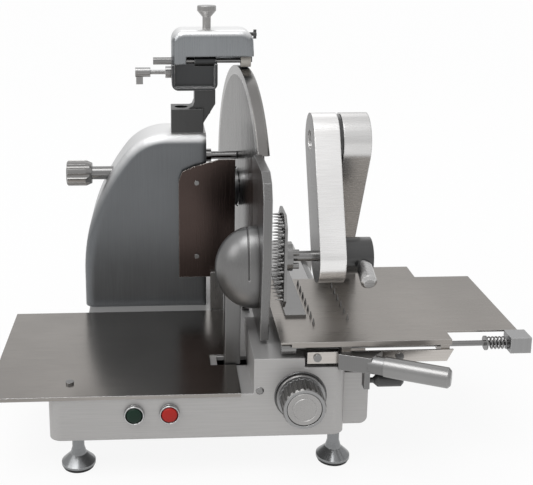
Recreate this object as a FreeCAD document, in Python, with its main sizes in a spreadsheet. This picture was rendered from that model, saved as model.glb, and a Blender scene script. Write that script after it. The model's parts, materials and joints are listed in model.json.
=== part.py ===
import FreeCAD, Part
import Sketcher
import math
import os
import re
from FreeCAD import Matrix, Placement, Rotation, Vector

# Electric vertical slicer with a hand-pushed carriage.  Millimetres, +Z up.
# Seen from the operator's side: -Y is the front, +X is the right, the blade turns in a YZ plane.
# The origin lies on the bench, under the middle of the machine's overall box.

DIMENSIONS = {
    # overall places
    "front_y": -194.0,          # plane of the front panel
    "cut_x": 21.0,              # cutting plane: right side of the blade's front edge
    "running_gap": 0.3,         # gap between pieces that move past each other
    "fit_gap": 0.05,            # radial clearance of a shaft in its bore
    "screw_radius": 2.5,
    "screw_head_radius": 4.5,
    "screw_head_height": 2.6,
    # feet
    "foot_height": 50.0,
    "foot_bell_radius": 19.5,
    "foot_neck_radius": 7.0,
    "foot_bell_height": 16.0,
    "foot_sole_height": 3.0,
    "foot_shoulder": 2.2,
    "foot_waist": 8.0,  # height of the cone above the bell
    "foot_sole_inset": 1.5,
    "foot_rim_height": 3.0,
    "foot_inset_x": 29.0,
    "foot_edge_inset": 6.0,     # the front right foot stands almost under the side wall
    "foot_boss_wall": 4.0,
    "foot_inset_y": 33.0,
    "foot_bolt_reach": 14.0,
    # base casing
    "base_left_x": -233.0,
    "base_width": 330.0,
    "base_height": 52.0,
    "base_depth": 420.0,
    "base_front_depth": 226.0,
    "base_rear_inset": 28.0,
    "base_wall": 5.0,
    "base_corner": 14.0,
    "step_x": -6.0,             # where the raised right part starts
    "step_height": 41.0,
    "shelf_share": 0.3088235294,     # of the raised part right of the blade, how much is high
    "shelf_height": 30.0,
    "step_depth": 112.0,        # depth of the raised part's full width
    "blade_well": 8.0,          # from the cutting plane to the raised part behind the step
    "floor_plate": 2.0,
    # push buttons
    "button_pitch": 39.0,
    "start_x": -138.2,
    "button_z": 81.0,
    "button_radius": 9.0,
    "button_stem": 3.0,
    "sleeve_wall": 1.5,
    "button_stand": 3.6,
    "button_depth": 10.0,
    "button_travel": 3.0,
    "bezel_radius": 11.5,
    "bezel_stand": 2.4,
    "switch_depth": 26.0,
    "switch_half": 10.0,
    # thickness knob and its cam
    "knob_share": 0.5048543689,      # of the raised part, how much lies left of the knob
    "knob_z": 98.0,
    "knob_radius": 27.5,
    "knob_ring": 6.0,
    "knob_depth": 30.0,
    "knob_face_radius": 22.5,
    "knob_grip_count": 24.0,
    "knob_grip_depth": 1.3,
    "knob_shaft_radius": 6.0,
    "shaft_end": 4.0,  # shaft beyond the cam
    "cam_radius": 14.0,
    "cam_thickness": 8.0,
    "cam_y": 54.0,
    "cam_gap": 0.8,
    "knob_sweep": 300.0,        # degrees from closed to fully open
    # gauge plate and its carrier
    "gauge_thickness": 10.0,
    "gauge_travel": 14.0,
    "gauge_open": 7.0,          # how far the plate stands back from the cutting plane at rest
    "gauge_front": 20.0,
    "gauge_bottom_z": 148.0,
    "gauge_top_rise": 81.0,
    "gauge_corner": 26.0,
    "gauge_lean": 16.0,
    "gauge_head_x": 0.0,
    "gauge_head_y": 74.0,
    "gauge_head_z": 222.0,
    "gauge_head_half_x": 45.0,
    "gauge_head_half_y": 34.0,
    "gauge_head_half_z": 49.0,
    "seam_inset": 9.0,  # fine groove round the bulbous casting
    "seam_low": 4.0,
    "seam_width": 1.6,
    "seam_deep": 1.5,
    "post_width": 18.0,
    "post_depth": 20.0,
    "slot_gap": 2.0,  # play of the post in the casing's slot
    "post_x": -24.0,
    "post_y": 80.0,
    "gauge_rod_radius": 7.0,
    "gauge_rod_z": 76.0,
    "gauge_rod_left": -118.0,
    "gauge_rod_inset": 31.0,
    "rod_hanger": 12.0,
    # receiving tray
    "tray_left_x": -300.0,
    "tray_right_x": -20.0,
    "tray_depth": 226.0,
    "tray_sheet": 1.5,
    "tray_lip": 4.5,
    # drive housing
    "housing_left_x": -211.0,
    "housing_right_x": -46.0,
    "housing_front": 248.0,
    "housing_depth": 80.0,
    "housing_drop": 71.0,
    "housing_wall": 6.0,
    "housing_edge": 14.0,
    "shoulder_low_z": 150.0,
    "crown_in": 112.0,
    "crown_radius": 70.0,
    "back_cover_sheet": 2.0,
    # blade, shaft and ring guard
    "blade_face_x": 8.0,        # right face of the blade at its centre
    "blade_turn": 5.0,          # degrees: the front edge leans into the food's path
    "blade_y": 280.0,
    "blade_clear": 10.0,
    "blade_radius": 150.0,
    "blade_thickness": 5.0,
    "blade_bevel": 14.0,
    "blade_tip": 0.6,
    "hub_radius": 26.0,
    "hub_thickness": 5.0,
    "hub_play": 1.5,
    "shaft_radius": 10.0,
    "bearing_radius": 21.0,
    "bearing_width": 12.0,
    "bearing_boss_radius": 25.5,
    "blade_pulley_radius": 14.0,
    "pulley_width": 14.0,
    "guard_gap": 4.0,
    "guard_rim": 12.0,
    "guard_left_x": -3.0,
    "guard_over": 4.0,
    "guard_cut_rise": 77.0,
    "guard_foot_drop": 6.0,
    "guard_web": 4.0,
    # motor and belt
    "motor_radius": 25.0,
    "motor_length": 92.0,
    "motor_left_x": -196.0,
    "motor_y": 302.0,
    "motor_z": 160.0,
    "motor_shaft_radius": 5.0,
    "motor_pulley_radius": 9.0,
    "belt_thickness": 3.0,
    "pulley_x": -74.0,
    "pulley_flange": 1.5,
    # slice deflector
    "deflector_left_x": -83.0,
    "deflector_right_x": -8.0,
    "deflector_y": 241.0,
    "deflector_sheet": 2.0,
    "deflector_bottom_z": 146.0,
    "deflector_top_z": 300.0,
    "deflector_crown": 9.0,
    "deflector_crown_width": 22.0,
    "panel_screw_height": 1.8,
    "panel_screw_inset": 24.0,
    "panel_screw_down": 22.0,
    "panel_screw_up": 30.0,
    "bracket_inset": 33.0,
    "bracket_front": 12.0,
    "bracket_width": 17.0,
    "bracket_depth": 14.0,
    "bracket_neck": 7.0,
    "deflector_corner": 14.0,
    # tie rod and its knob, guard stay
    "tie_y": 288.0,
    "tie_drop": 60.0,
    "tie_radius": 9.0,
    "tie_knob_radius": 17.5,
    "tie_knob_length": 34.0,
    "tie_knob_x": -234.0,
    "tie_flutes": 8.0,
    "tie_flute_radius": 4.2,
    "tie_rod_length": 96.0,
    "tie_boss_x": -176.0,
    "stay_rise": 44.0,
    "stay_radius": 5.5,
    "stay_nut_radius": 9.0,
    "stay_nut_width": 8.0,
    # carriage
    "rail_out": 15.0,
    "rail_radius": 8.0,
    "rail_low_z": 72.0,
    "rail_high_z": 98.0,
    "rail_front": 22.0,
    "rail_cover": 4.0,          # wall of the front lug before the rails' ends
    "rail_lug": 12.0,
    "rail_lug_round": 9.0,
    "carriage_foot_front": 36.0,
    "carriage_foot_length": 112.0,
    "carriage_foot_bottom_z": 52.0,
    "rail_lug_top_z": 114.0,
    "bush_radius": 11.0,
    "bush_length": 20.0,
    "saddle_left_x": 60.0,
    "saddle_right_x": 212.0,
    "saddle_front": 24.0,
    "saddle_depth": 160.0,
    "carriage_gap": 1.5,  # between the carriage and the casing
    "ear_width": 10.0,  # the two ears that hold the slide rod
    "ear_left": 30.0,
    "ear_right": 12.0,
    "front_plate_left_x": 52.0,
    "front_plate_right_x": 214.0,
    "front_plate_y": -3.5,
    "front_plate_sheet": 2.2,
    "plate_screw_height": 1.6,
    "plate_screw_up": 7.0,
    "plate_screw_left": 11.0,
    "plate_screw_right": 60.0,
    "front_plate_slant": 7.0,
    "front_plate_bottom_z": 138.0,
    "front_plate_top_z": 151.5,
    "handle_block_x": 85.0,
    "handle_block_thin": 6.0,
    "handle_corner_x": 118.0,
    "handle_block_deep": 18.0,
    "handle_end_x": 135.0,
    "handle_block_height": 18.0,
    "grip_radius": 11.0,
    "grip_start": 17.0,         # from the wedge's slanting side to the sleeve
    "grip_length": 70.0,
    "grip_turn": 25.0,          # degrees towards the operator
    "lock_radius": 7.3,
    "lock_length": 42.0,
    "lock_z": 121.8,
    "lug_width": 6.0,
    "lock_stem": 3.0,
    # food table
    "table_left_x": 22.5,
    "table_right_x": 292.0,
    "table_depth": 181.0,
    "table_sheet": 2.0,
    "table_z": 162.0,
    "table_lip": 6.0,
    "table_front": 5.0,  # how far the table stands out in front
    "table_lip_sheet": 1.5,
    "table_lip_inset": 12.0,
    "side_stop_inset": 14.0,
    "side_stop_front": 62.0,
    "side_stop_width": 24.0,
    "side_stop_length": 140.0,
    "side_stop_height": 3.0,
    "end_block_raise": 4.0,
    "tab_left_x": 110.0,
    "tab_right_x": 222.0,
    "tab_depth": 38.0,
    "hinge_y": 8.0,
    "hinge_z": 153.0,
    "hinge_rod_radius": 3.0,
    "rod_bay_width": 66.0,      # the table's front edge steps back here, so that the rod is reached
    "end_block_x": 277.0,
    "end_block_width": 23.0,
    "end_block_depth": 22.0,
    "end_block_height": 22.0,
    "nut_x": 24.0,
    "nut_width": 16.0,
    "nut_radius": 8.0,
    "spring_radius": 8.0,
    "spring_wire": 1.8,
    "spring_turns": 5.0,
    "spring_length": 22.0,
    "spring_washer": 2.0,
    "spike_height": 7.0,
    "spike_radius": 1.6,
    "spike_row_x": 66.0,
    "spike_row_gap": 41.0,
    "spike_front": 43.0,
    "spike_pitch": 19.5,
    "spike_count": 7.0,
    # holding arm
    "arm_base_y": 205.0,
    "arm_base_z": 192.0,
    "arm_base_radius": 20.0,
    "elbow_y": 130.0,
    "elbow_z": 359.0,
    "elbow_radius": 33.0,
    "wrist_y": 70.0,
    "wrist_z": 236.0,
    "wrist_radius": 31.0,
    "lower_link_x": 71.0,
    "link_width": 30.0,
    "rear_link_width": 32.5,
    "washer_width": 4.0,
    "pivot_radius": 9.0,
    "pivot_recess_radius": 12.0,
    "pivot_recess_depth": 4.0,
    "cheek_width": 8.0,
    "arm_sole": 5.0,
    "arm_inset": 6.0,  # cheeks' radius below the link's
    # food clamp
    "clamp_spindle_radius": 6.0,
    "clamp_plate_x": 31.0,
    "clamp_plate_sheet": 3.0,
    "clamp_plate_half_y": 30.0,
    "clamp_plate_half_z": 55.0,
    "tooth_length": 9.0,
    "tooth_radius": 1.6,
    "tooth_pitch": 11.0,
    "tooth_rows": 9.0,
    "tooth_columns": 5.0,
    "clamp_collar_radius": 17.0,
    "clamp_collar_width": 9.0,
    "clamp_stud_radius": 3.5,
    "clamp_stud_length": 7.0,
    "clamp_stud_y": 10.0,
    "clamp_stud_z": 8.0,
    "lock_knob_radius": 21.0,
    "lock_knob_width": 33.0,
    "lever_radius": 9.0,
    "lever_length": 34.0,
    "lever_lean": 108.0,  # degrees from upright to the lever's direction
    "lever_neck": 0.7,  # share of the lever's radius
    "lever_inset": 12.0,
    "lever_low": 4.0,
    # sharpener
    "socket_left_x": -92.0,
    "socket_width": 43.0,
    "socket_y": 262.0,
    "socket_depth": 42.0,
    "socket_drop": 39.0,
    "socket_radius": 9.0,
    "socket_inset": 14.0,
    "arm_half": 14.0,
    "post_axis_x": -47.0,
    "post_axis_y": 282.0,
    "stem_drop": 14.0,
    "sharpener_post_radius": 8.0,
    "post_pin_radius": 5.0,
    "sharpener_left_x": -91.0,
    "sharpener_front": 250.0,
    "sharpener_depth": 66.0,
    "lower_box_width": 60.0,
    "lower_box_drop": 12.5,
    "lower_box_round": 9.0,
    "lower_box_wall": 4.0,
    "pocket_depth": 12.0,
    "cover_rise": 22.0,
    "cover_height": 44.0,
    "cover_width": 107.0,
    "cover_wall": 3.0,
    "cover_round": 16.0,
    "window_inset": 19.0,
    "window_height": 10.0,
    "cover_knob": 12.0,
    "top_knob_x": -44.0,
    "top_knob_radius": 12.5,
    "top_knob_neck": 5.5,
    "top_knob_height": 30.0,
    "stone_radius": 8.5,
    "stone_width": 13.0,
    "stone_inset": 13.0,
    "stone_gap_z": 1.0,
    "gate_play": 1.5,
    "spindle_radius": 3.0,
    "sleeve_radius": 7.0,
    "sleeve_length": 28.0,
    "web_width": 14.0,
    "web_depth": 10.0,
    "peg_radius": 4.8,
    "peg_reach": 24.0,
    "peg_inner": 9.0,
    "wing_rise": 8.0,
    "wing_reach": 48.0,
    "wing_radius": 6.5,
    "wing_shank": 3.0,
    "wing_seat": 8.0,
    "wing_hub": 20.0,
    "wing_height": 16.0,
    "wing_width": 9.0,
    "wing_sheet": 5.0,
    "wing_collar": 1.5,
    # mains lead inlet
    "gland_x": -150.0,
    "gland_z": 78.0,
    "gland_radius": 10.0,
    "gland_length": 22.0,
}


def following(sizes):
    """Places and heights that follow from other sizes."""
    base_right = sizes["base_left_x"] + sizes["base_width"]
    raised_x = sizes["cut_x"] + sizes["blade_well"]
    blade_z = sizes["foot_height"] + sizes["base_height"] + sizes["blade_clear"] + sizes["blade_radius"]
    blade_top = blade_z + sizes["blade_radius"]
    return {
        "shelf_x": raised_x + (base_right - raised_x) * sizes["shelf_share"],
        "knob_x": sizes["step_x"] + (base_right - sizes["step_x"]) * sizes["knob_share"],
        "rail_x": base_right + sizes["rail_out"],
        "gauge_rod_right": base_right - sizes["gauge_rod_inset"],
        "blade_z": blade_z,
        "gauge_top_z": blade_z + sizes["gauge_top_rise"],
        "stay_z": blade_z + sizes["stay_rise"],
        "housing_top_z": blade_top - sizes["housing_drop"],
        "tie_z": blade_top - sizes["housing_drop"] - sizes["tie_drop"],
        "guard_cut_z": blade_z + sizes["guard_cut_rise"],
        "guard_foot_z": blade_z - sizes["blade_radius"] - sizes["guard_foot_drop"],
        "socket_top_z": blade_top - sizes["socket_drop"],
        "stem_top_z": blade_top - sizes["stem_drop"],
        "lower_box_bottom_z": blade_top - sizes["lower_box_drop"],
        "cover_bottom_z": blade_top + sizes["cover_rise"],
        "cover_top_z": blade_top + sizes["cover_rise"] + sizes["cover_height"],
        "wing_z": blade_top + sizes["wing_rise"],
    }


DIMENSIONS.update(following(DIMENSIONS))

ALONG = {
    "X": Rotation(Vector(0, 1, 0), 90),
    "Y": Rotation(Vector(1, 0, 0), -90),
    "Z": Rotation(),
}

document = FreeCAD.newDocument("slicer")
sheet = document.addObject("Spreadsheet::Sheet", "Sizes")
for row, (word, number) in enumerate(DIMENSIONS.items(), start=1):
    sheet.set(f"A{row}", word)
    sheet.set(f"B{row}", str(number))
    sheet.setAlias(f"B{row}", word)
document.recompute()

WORD = re.compile(r"[a-z][a-z0-9_]*")
nodes = []


def size(word):
    return float(sheet.get(word))


def formula(text):
    def named(found):
        return "Sizes." + found.group() if found.group() in DIMENSIONS else found.group()

    return WORD.sub(named, str(text))


def bind(item, prop, text):
    item.setExpression(prop, formula(text))


def place(item, at, along="Z"):
    item.Placement = Placement(Vector(), ALONG[along])
    for letter, text in zip("xyz", at):
        bind(item, f"Placement.Base.{letter}", text)


def piece(item, label):
    item.Label = label
    nodes.append(item)
    return item


def block(corner, lengths):
    item = document.addObject("Part::Box", "block")
    for prop, text in zip(("Length", "Width", "Height"), lengths):
        bind(item, prop, text)
    place(item, corner)
    return item


def rod(start, radius, length, along):
    item = document.addObject("Part::Cylinder", "rod")
    bind(item, "Radius", radius)
    bind(item, "Height", length)
    place(item, start, along)
    return item


def cone(start, radius_low, radius_high, length, along):
    item = document.addObject("Part::Cone", "cone")
    bind(item, "Radius1", radius_low)
    bind(item, "Radius2", radius_high)
    bind(item, "Height", length)
    place(item, start, along)
    return item


def fuse(items):
    item = document.addObject("Part::MultiFuse", "fuse")
    item.Shapes = items
    item.Refine = True
    return item


def group(items):
    item = document.addObject("Part::Compound", "group")
    item.Links = items
    return item


def cut(base, tools):
    item = document.addObject("Part::Cut", "cut")
    item.Base = base
    item.Tool = tools[0] if len(tools) == 1 else fuse(tools)
    return item


def overlap(base, tool):
    item = document.addObject("Part::Common", "overlap")
    item.Base = base
    item.Tool = tool
    return item


def fillet(base, radius, wanted):
    document.recompute()
    item = document.addObject("Part::Fillet", "fillet")
    item.Base = base
    numbered = enumerate(base.Shape.Edges, start=1)
    item.Edges = [(number, radius, radius) for number, edge in numbered if wanted(edge)]
    return item


def upright(edge):
    low, high = edge.BoundBox.ZMin, edge.BoundBox.ZMax
    return edge.Curve.TypeId == "Part::GeomLine" and high - low > 0.999 * edge.Length


def origin_plane(body, role):
    return next(item for item in body.Origin.OriginFeatures if item.Role == role)


def polygon(body, role, corners):
    """A closed sketch of straight lines whose corners are bound to the sheet."""
    sketch = body.newObject("Sketcher::SketchObject", "outline")
    sketch.AttachmentSupport = (origin_plane(body, role), [""])
    sketch.MapMode = "FlatFace"
    count = len(corners)
    ring = [Vector(math.cos(math.tau * k / count), math.sin(math.tau * k / count), 0) for k in range(count)]
    for k in range(count):
        sketch.addGeometry(Part.LineSegment(ring[k], ring[(k + 1) % count]))
    for k in range(count):
        sketch.addConstraint(Sketcher.Constraint("Coincident", k, 2, (k + 1) % count, 1))
    for k, (across, up) in enumerate(corners):
        for kind, text in (("DistanceX", across), ("DistanceY", up)):
            number = sketch.addConstraint(Sketcher.Constraint(kind, -1, 1, k, 1, 1.0))
            bind(sketch, f"Constraints[{number}]", text)
    return sketch


def new_body(label, at, along="Z"):
    body = document.addObject("PartDesign::Body", label)
    place(body, at, along)
    return body


def turned(label, profile, at, along="Z"):
    """A lathe part: the profile's corners are (radius, height along the axis)."""
    body = new_body(label, at, along)
    sketch = polygon(body, "XZ_Plane", profile)
    spin = body.newObject("PartDesign::Revolution", "spin")
    spin.Profile = sketch
    spin.ReferenceAxis = (sketch, ["V_Axis"])
    spin.Angle = 360.0
    body.Tip = spin
    return piece(body, label)


def panel(label, role, corners, thickness, at):
    """A flat body: the outline lies in one of its origin planes and is padded."""
    body = new_body(label, at)
    sketch = polygon(body, role, corners)
    pad = body.newObject("PartDesign::Pad", "pad")
    pad.Profile = sketch
    bind(pad, "Length", thickness)
    body.Tip = pad
    return body


def plate(label, role, corners, thickness, at):
    return piece(panel(label, role, corners, thickness, at), label)


def shaped(label, shape, at=Vector(), along="Z"):
    item = document.addObject("Part::Feature", label)
    item.Shape = shape
    item.Placement = Placement(at, ALONG[along])
    return piece(item, label)


BASE_TOP = "(foot_height + base_height)"
STEP_TOP = "(foot_height + base_height + step_height)"
SHELF_TOP = "(foot_height + base_height + shelf_height)"
BASE_RIGHT = "(base_left_x + base_width)"
REAR_Y = "(front_y + base_depth)"
BOLT_RADIUS = "(foot_neck_radius - 2)"
FOOT_PLACES = {
    "front_left": ("base_left_x + foot_inset_x", "front_y + foot_inset_y"),
    "front_right": (f"{BASE_RIGHT} - foot_edge_inset", "front_y + foot_inset_y"),
    "rear_left": ("base_left_x + base_rear_inset + foot_inset_x", f"{REAR_Y} - foot_inset_y"),
    "rear_right": (f"{BASE_RIGHT} - foot_inset_x", f"{REAR_Y} - foot_inset_y"),
}


# ---------------------------------------------------------------- base
def base_blocks(inset, floor):
    """The casing as overlapping blocks, shrunk by inset on every side and on top.

    They are the low part, the raised part and the carriage shelf.
    """
    rear_left = f"(base_left_x + base_rear_inset + {inset})"
    low = f"{BASE_TOP} - {inset} - ({floor})"
    return [
        block((f"base_left_x + {inset}", f"front_y + {inset}", floor),
              (f"base_width - 2 * {inset}", f"base_front_depth - 2 * {inset}", low)),
        block((rear_left, "front_y + base_front_depth / 2", floor),
              (f"{BASE_RIGHT} - {inset} - {rear_left}", f"base_depth - base_front_depth / 2 - {inset}", low)),
    ] + [
        block((f"{left} + {inset}", f"front_y + {inset}", floor),
              (f"{right} - {left} - 2 * {inset}", f"{depth} - 2 * {inset}", f"{top} - {inset} - ({floor})"))
        for left, depth in (("step_x", "step_depth"), ("(cut_x + blade_well)", "base_depth"))
        for right, top in (("shelf_x", STEP_TOP), (BASE_RIGHT, SHELF_TOP))
    ]


def rail_lugs():
    """The lugs at both ends of the right side that hold the carriage rails."""
    depth = "rail_lug"
    width = "(rail_x - (base_left_x + base_width) + rail_radius + 7 + base_corner)"
    height = "(rail_lug_top_z - foot_height)"
    lugs = [block((f"{BASE_RIGHT} - base_corner", y, "foot_height"), (width, depth, height))
            for y in ("front_y + rail_front", f"{REAR_Y} - rail_lug")]
    return [fillet(lug, size("rail_lug_round"), outer_end) for lug in lugs]


def outer_end(edge):
    """An edge along Y at a lug's outer side."""
    box = edge.BoundBox
    return box.YMax - box.YMin > 1 and box.XMin > size("rail_x")


def corner_edge(edge):
    """An upright edge at one of the casing's outer corners."""
    middle = edge.CenterOfMass
    ends_x = (size("base_left_x"), size("base_left_x") + size("base_width"))
    ends_y = (size("front_y"), size("front_y") + size("base_depth"))
    near_x = min(abs(middle.x - x) for x in ends_x)
    near_y = min(abs(middle.y - y) for y in ends_y)
    return upright(edge) and near_x < 0.01 and near_y < 0.01


def base_casing():
    outer = fillet(fuse(base_blocks("0", "foot_height")), size("base_corner"), corner_edge)
    cavity = fuse(base_blocks("base_wall", "foot_height - 1"))
    front = "front_y - base_wall"
    through = "base_wall * 3"
    holes = [rod((x, front, "button_z"), "button_radius + sleeve_wall", through, "Y")
             for x in ("start_x", "start_x + button_pitch")]
    holes.append(rod(("knob_x", front, "knob_z"), "knob_shaft_radius + fit_gap", through, "Y"))
    slot_left = "post_x - post_width / 2 - gauge_travel + gauge_open - slot_gap"
    slot_front = "front_y + post_y - post_depth / 2 - slot_gap"
    holes.append(block((slot_left, slot_front, f"{BASE_TOP} - base_wall * 2"),
                       ("post_width + gauge_travel + 2 * slot_gap", "post_depth + 2 * slot_gap", through)))
    holes += [rod(("rail_x", "front_y + rail_front + rail_cover", z), "rail_radius", "base_depth", "Y")
              for z in ("rail_low_z", "rail_high_z")]
    bosses = fuse([rod((x, y, "foot_height + floor_plate"), "foot_neck_radius + foot_boss_wall",
                       f"{top} - base_wall - floor_plate - foot_height", "Z")
                   for (x, y), top in zip(FOOT_PLACES.values(), (BASE_TOP, SHELF_TOP) * 2)])
    holes.append(rod(("gauge_rod_left", "front_y + post_y", "gauge_rod_z"), "gauge_rod_radius",
                     "gauge_rod_right - gauge_rod_left", "X"))
    holes += [rod((x, y, "foot_height"), BOLT_RADIUS, "foot_bolt_reach + 1", "Z")
              for x, y in FOOT_PLACES.values()]
    shell = cut(outer, [cavity])
    solid = fuse([shell, overlap(bosses, outer)] + rail_lugs() + rod_hangers())
    return piece(cut(solid, holes), "base_casing")


def rod_hangers():
    """Two ribs under the casing's top that hold the gauge plate's guide rod at its ends."""
    y = "front_y + post_y - post_depth / 2"
    return [block((f"{x} - rod_hanger / 2", y, "gauge_rod_z - gauge_rod_radius - 5"),
                  ("rod_hanger", "post_depth", f"{top} - base_wall + 1 - gauge_rod_z + gauge_rod_radius + 5"))
            for x, top in (("gauge_rod_left", BASE_TOP), ("gauge_rod_right", SHELF_TOP))]


def underside_plate():
    slab = fuse(base_blocks("(base_wall + running_gap)", "foot_height"))
    keep = block(("base_left_x", "front_y", "foot_height"), ("base_width", "base_depth", "floor_plate"))
    holes = [rod((x, y, "foot_height - 1"), "foot_neck_radius + 0.5", "floor_plate + 2", "Z")
             for x, y in FOOT_PLACES.values()]
    return piece(cut(overlap(slab, keep), holes + rail_lugs()), "underside_plate")


def foot(x, y):
    """A bell foot: sole, bell, waisted neck and the bolt that screws into the casing."""
    neck_z = "foot_bell_height + foot_waist"
    bell_z = "foot_sole_height + foot_rim_height"
    return fuse([
        rod((x, y, "0"), "foot_bell_radius - foot_sole_inset", "foot_sole_height", "Z"),
        rod((x, y, "foot_sole_height"), "foot_bell_radius", "foot_rim_height", "Z"),
        cone((x, y, bell_z), "foot_bell_radius", "foot_neck_radius + foot_shoulder",
             f"foot_bell_height - ({bell_z})", "Z"),
        cone((x, y, "foot_bell_height"), "foot_neck_radius + foot_shoulder", "foot_neck_radius",
             "foot_waist", "Z"),
        rod((x, y, neck_z), "foot_neck_radius", f"foot_height - ({neck_z})", "Z"),
        rod((x, y, "foot_height"), BOLT_RADIUS, "foot_bolt_reach", "Z"),
    ])


def feet():
    piece(group([foot(x, y) for x, y in FOOT_PLACES.values()]), "feet")


def push_button(label, x):
    cap = "button_stand"
    stem = "button_stem"
    profile = [
        ("0", "0"), ("button_radius - 1.2", "0"), ("button_radius", "1"), ("button_radius", f"{cap} + 1"),
        (stem, f"{cap} + 1"), (stem, f"{cap} + base_wall + button_depth"),
        ("0", f"{cap} + base_wall + button_depth"),
    ]
    return turned(label, profile, (x, f"front_y - {cap}", "button_z"), "Y")


def switches():
    places = ("start_x", "start_x + button_pitch")
    push_button("start_button", places[0])
    push_button("stop_button", places[1])
    piece(group([switch(x) for x in places]), "button_switches")


def switch(x):
    """A switch block behind the panel and its round bezel in front, joined by a sleeve through the panel."""
    bezel = rod((x, "front_y - bezel_stand", "button_z"), "bezel_radius", "bezel_stand", "Y")
    sleeve = rod((x, "front_y", "button_z"), "button_radius + sleeve_wall", "base_wall", "Y")
    body = block((f"{x} - switch_half", "front_y + base_wall", "button_z - switch_half"),
                 ("switch_half * 2", "switch_depth", "switch_half * 2"))
    bore = rod((x, "front_y - bezel_stand - 1", "button_z"), "button_radius + running_gap",
               "bezel_stand + 1 + base_wall + button_travel + 1", "Y")
    stem_hole = rod((x, "front_y", "button_z"), "button_stem + running_gap",
                    "base_wall + button_depth + button_travel + 1", "Y")
    return cut(fuse([bezel, sleeve, body]), [bore, stem_hole])


def receiving_tray():
    top = block(("tray_left_x", "front_y", BASE_TOP),
                ("tray_right_x - tray_left_x", "tray_depth", "tray_sheet"))
    lip = block(("tray_left_x", "front_y - tray_sheet", f"{BASE_TOP} + tray_sheet - tray_lip"),
                ("tray_right_x - tray_left_x", "tray_sheet", "tray_lip"))
    notch = block(("post_x - post_width / 2 - gauge_travel - 3", "front_y + post_y - post_depth / 2 - 3",
                   f"{BASE_TOP} - 1"), ("base_width", "post_depth + 6", "tray_sheet + 2"))
    screw = ("base_left_x + 22", "front_y + 30", f"{BASE_TOP} - 1")
    piece(cut(fuse([top, lip]), [notch, rod(screw, "screw_radius", "tray_sheet + 2", "Z")]), "receiving_tray")
    head = rod((screw[0], screw[1], f"{BASE_TOP} + tray_sheet"),
               "screw_head_radius", "screw_head_height", "Z")
    shank = rod((screw[0], screw[1], BASE_TOP), "screw_radius", "tray_sheet", "Z")
    return fuse([head, shank])


# ---------------------------------------------------------------- thickness knob and gauge
def knob():
    tip = "knob_depth"
    profile = [
        ("0", "0"), ("knob_radius", "0"), ("knob_radius", "knob_ring - 1"), ("knob_radius - 1", "knob_ring"),
        ("knob_face_radius + 1.5", "knob_ring"), ("knob_face_radius + 1.5", f"{tip} - 2"),
        ("knob_face_radius", tip),
        ("knob_face_radius - 3", tip), ("knob_face_radius - 3", f"{tip} - 2"), ("0", f"{tip} - 2"),
    ]
    body = turned("thickness_knob", profile, ("knob_x", "front_y - running_gap", "knob_z"), "Y")
    body.Placement = Placement(body.Placement.Base, Rotation(Vector(1, 0, 0), 90))
    flute(body, "knob_face_radius + 2.6", "knob_grip_depth + 0.9", "knob_grip_count", "knob_ring")
    reach = size("running_gap") + size("cam_y") + size("cam_thickness") + size("shaft_end")
    shaft = Part.makeCylinder(size("knob_shaft_radius"), reach,
                              Vector(size("knob_x"), size("front_y") - size("running_gap"), size("knob_z")),
                              Vector(0, 1, 0))
    shaped("cam_shaft", shaft.fuse(cam_shape()))


def flute(body, reach, radius, count, start):
    """Cuts evenly spaced round grooves along the axis of a turned body."""
    document.recompute()
    sketch = body.newObject("Sketcher::SketchObject", "groove")
    sketch.AttachmentSupport = (origin_plane(body, "XY_Plane"), [""])
    sketch.MapMode = "FlatFace"
    bind(sketch, "AttachmentOffset.Base.z", start)
    sketch.addGeometry(Part.Circle(Vector(10, 0, 0), Vector(0, 0, 1), 1))
    for kind, args, text in (("Radius", (0,), radius), ("DistanceX", (-1, 1, 0, 3), reach)):
        number = sketch.addConstraint(Sketcher.Constraint(kind, *args, 1.0))
        bind(sketch, f"Constraints[{number}]", text)
    sketch.addConstraint(Sketcher.Constraint("PointOnObject", 0, 3, -1))
    pocket = body.newObject("PartDesign::Pocket", "flute")
    pocket.Profile = sketch
    pocket.Type = 1
    pocket.Reversed = True
    document.recompute()
    pattern = body.newObject("PartDesign::PolarPattern", "flutes")
    pattern.Originals = [pocket]
    pattern.Axis = (sketch, ["N_Axis"])
    pattern.Angle = 360
    bind(pattern, "Occurrences", count)
    body.Tip = pattern


def cam_shape():
    """A spiral cam: its radius grows evenly, so the gauge plate moves evenly with the knob."""
    low = size("cam_radius")
    rise = size("gauge_travel")
    sweep = math.radians(size("knob_sweep"))
    steps = 30
    middle = Vector(size("knob_x"), size("front_y") + size("cam_y"), size("knob_z"))
    points = []
    for k in range(steps + 1):
        angle = math.pi + sweep * (k / steps - size("gauge_open") / rise)
        radius = low + rise * k / steps
        points.append(middle + Vector(math.cos(angle), 0, math.sin(angle)) * radius)
    spiral = Part.BSplineCurve()
    spiral.interpolate(points)
    wire = Part.Wire([spiral.toShape(), Part.LineSegment(points[-1], points[0]).toShape()])
    return Part.Face(wire).extrude(Vector(0, size("cam_thickness"), 0))


GAUGE_X = "(cut_x - gauge_open - gauge_thickness)"
CAM_REACH = "(cam_radius + gauge_open + cam_gap)"


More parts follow.
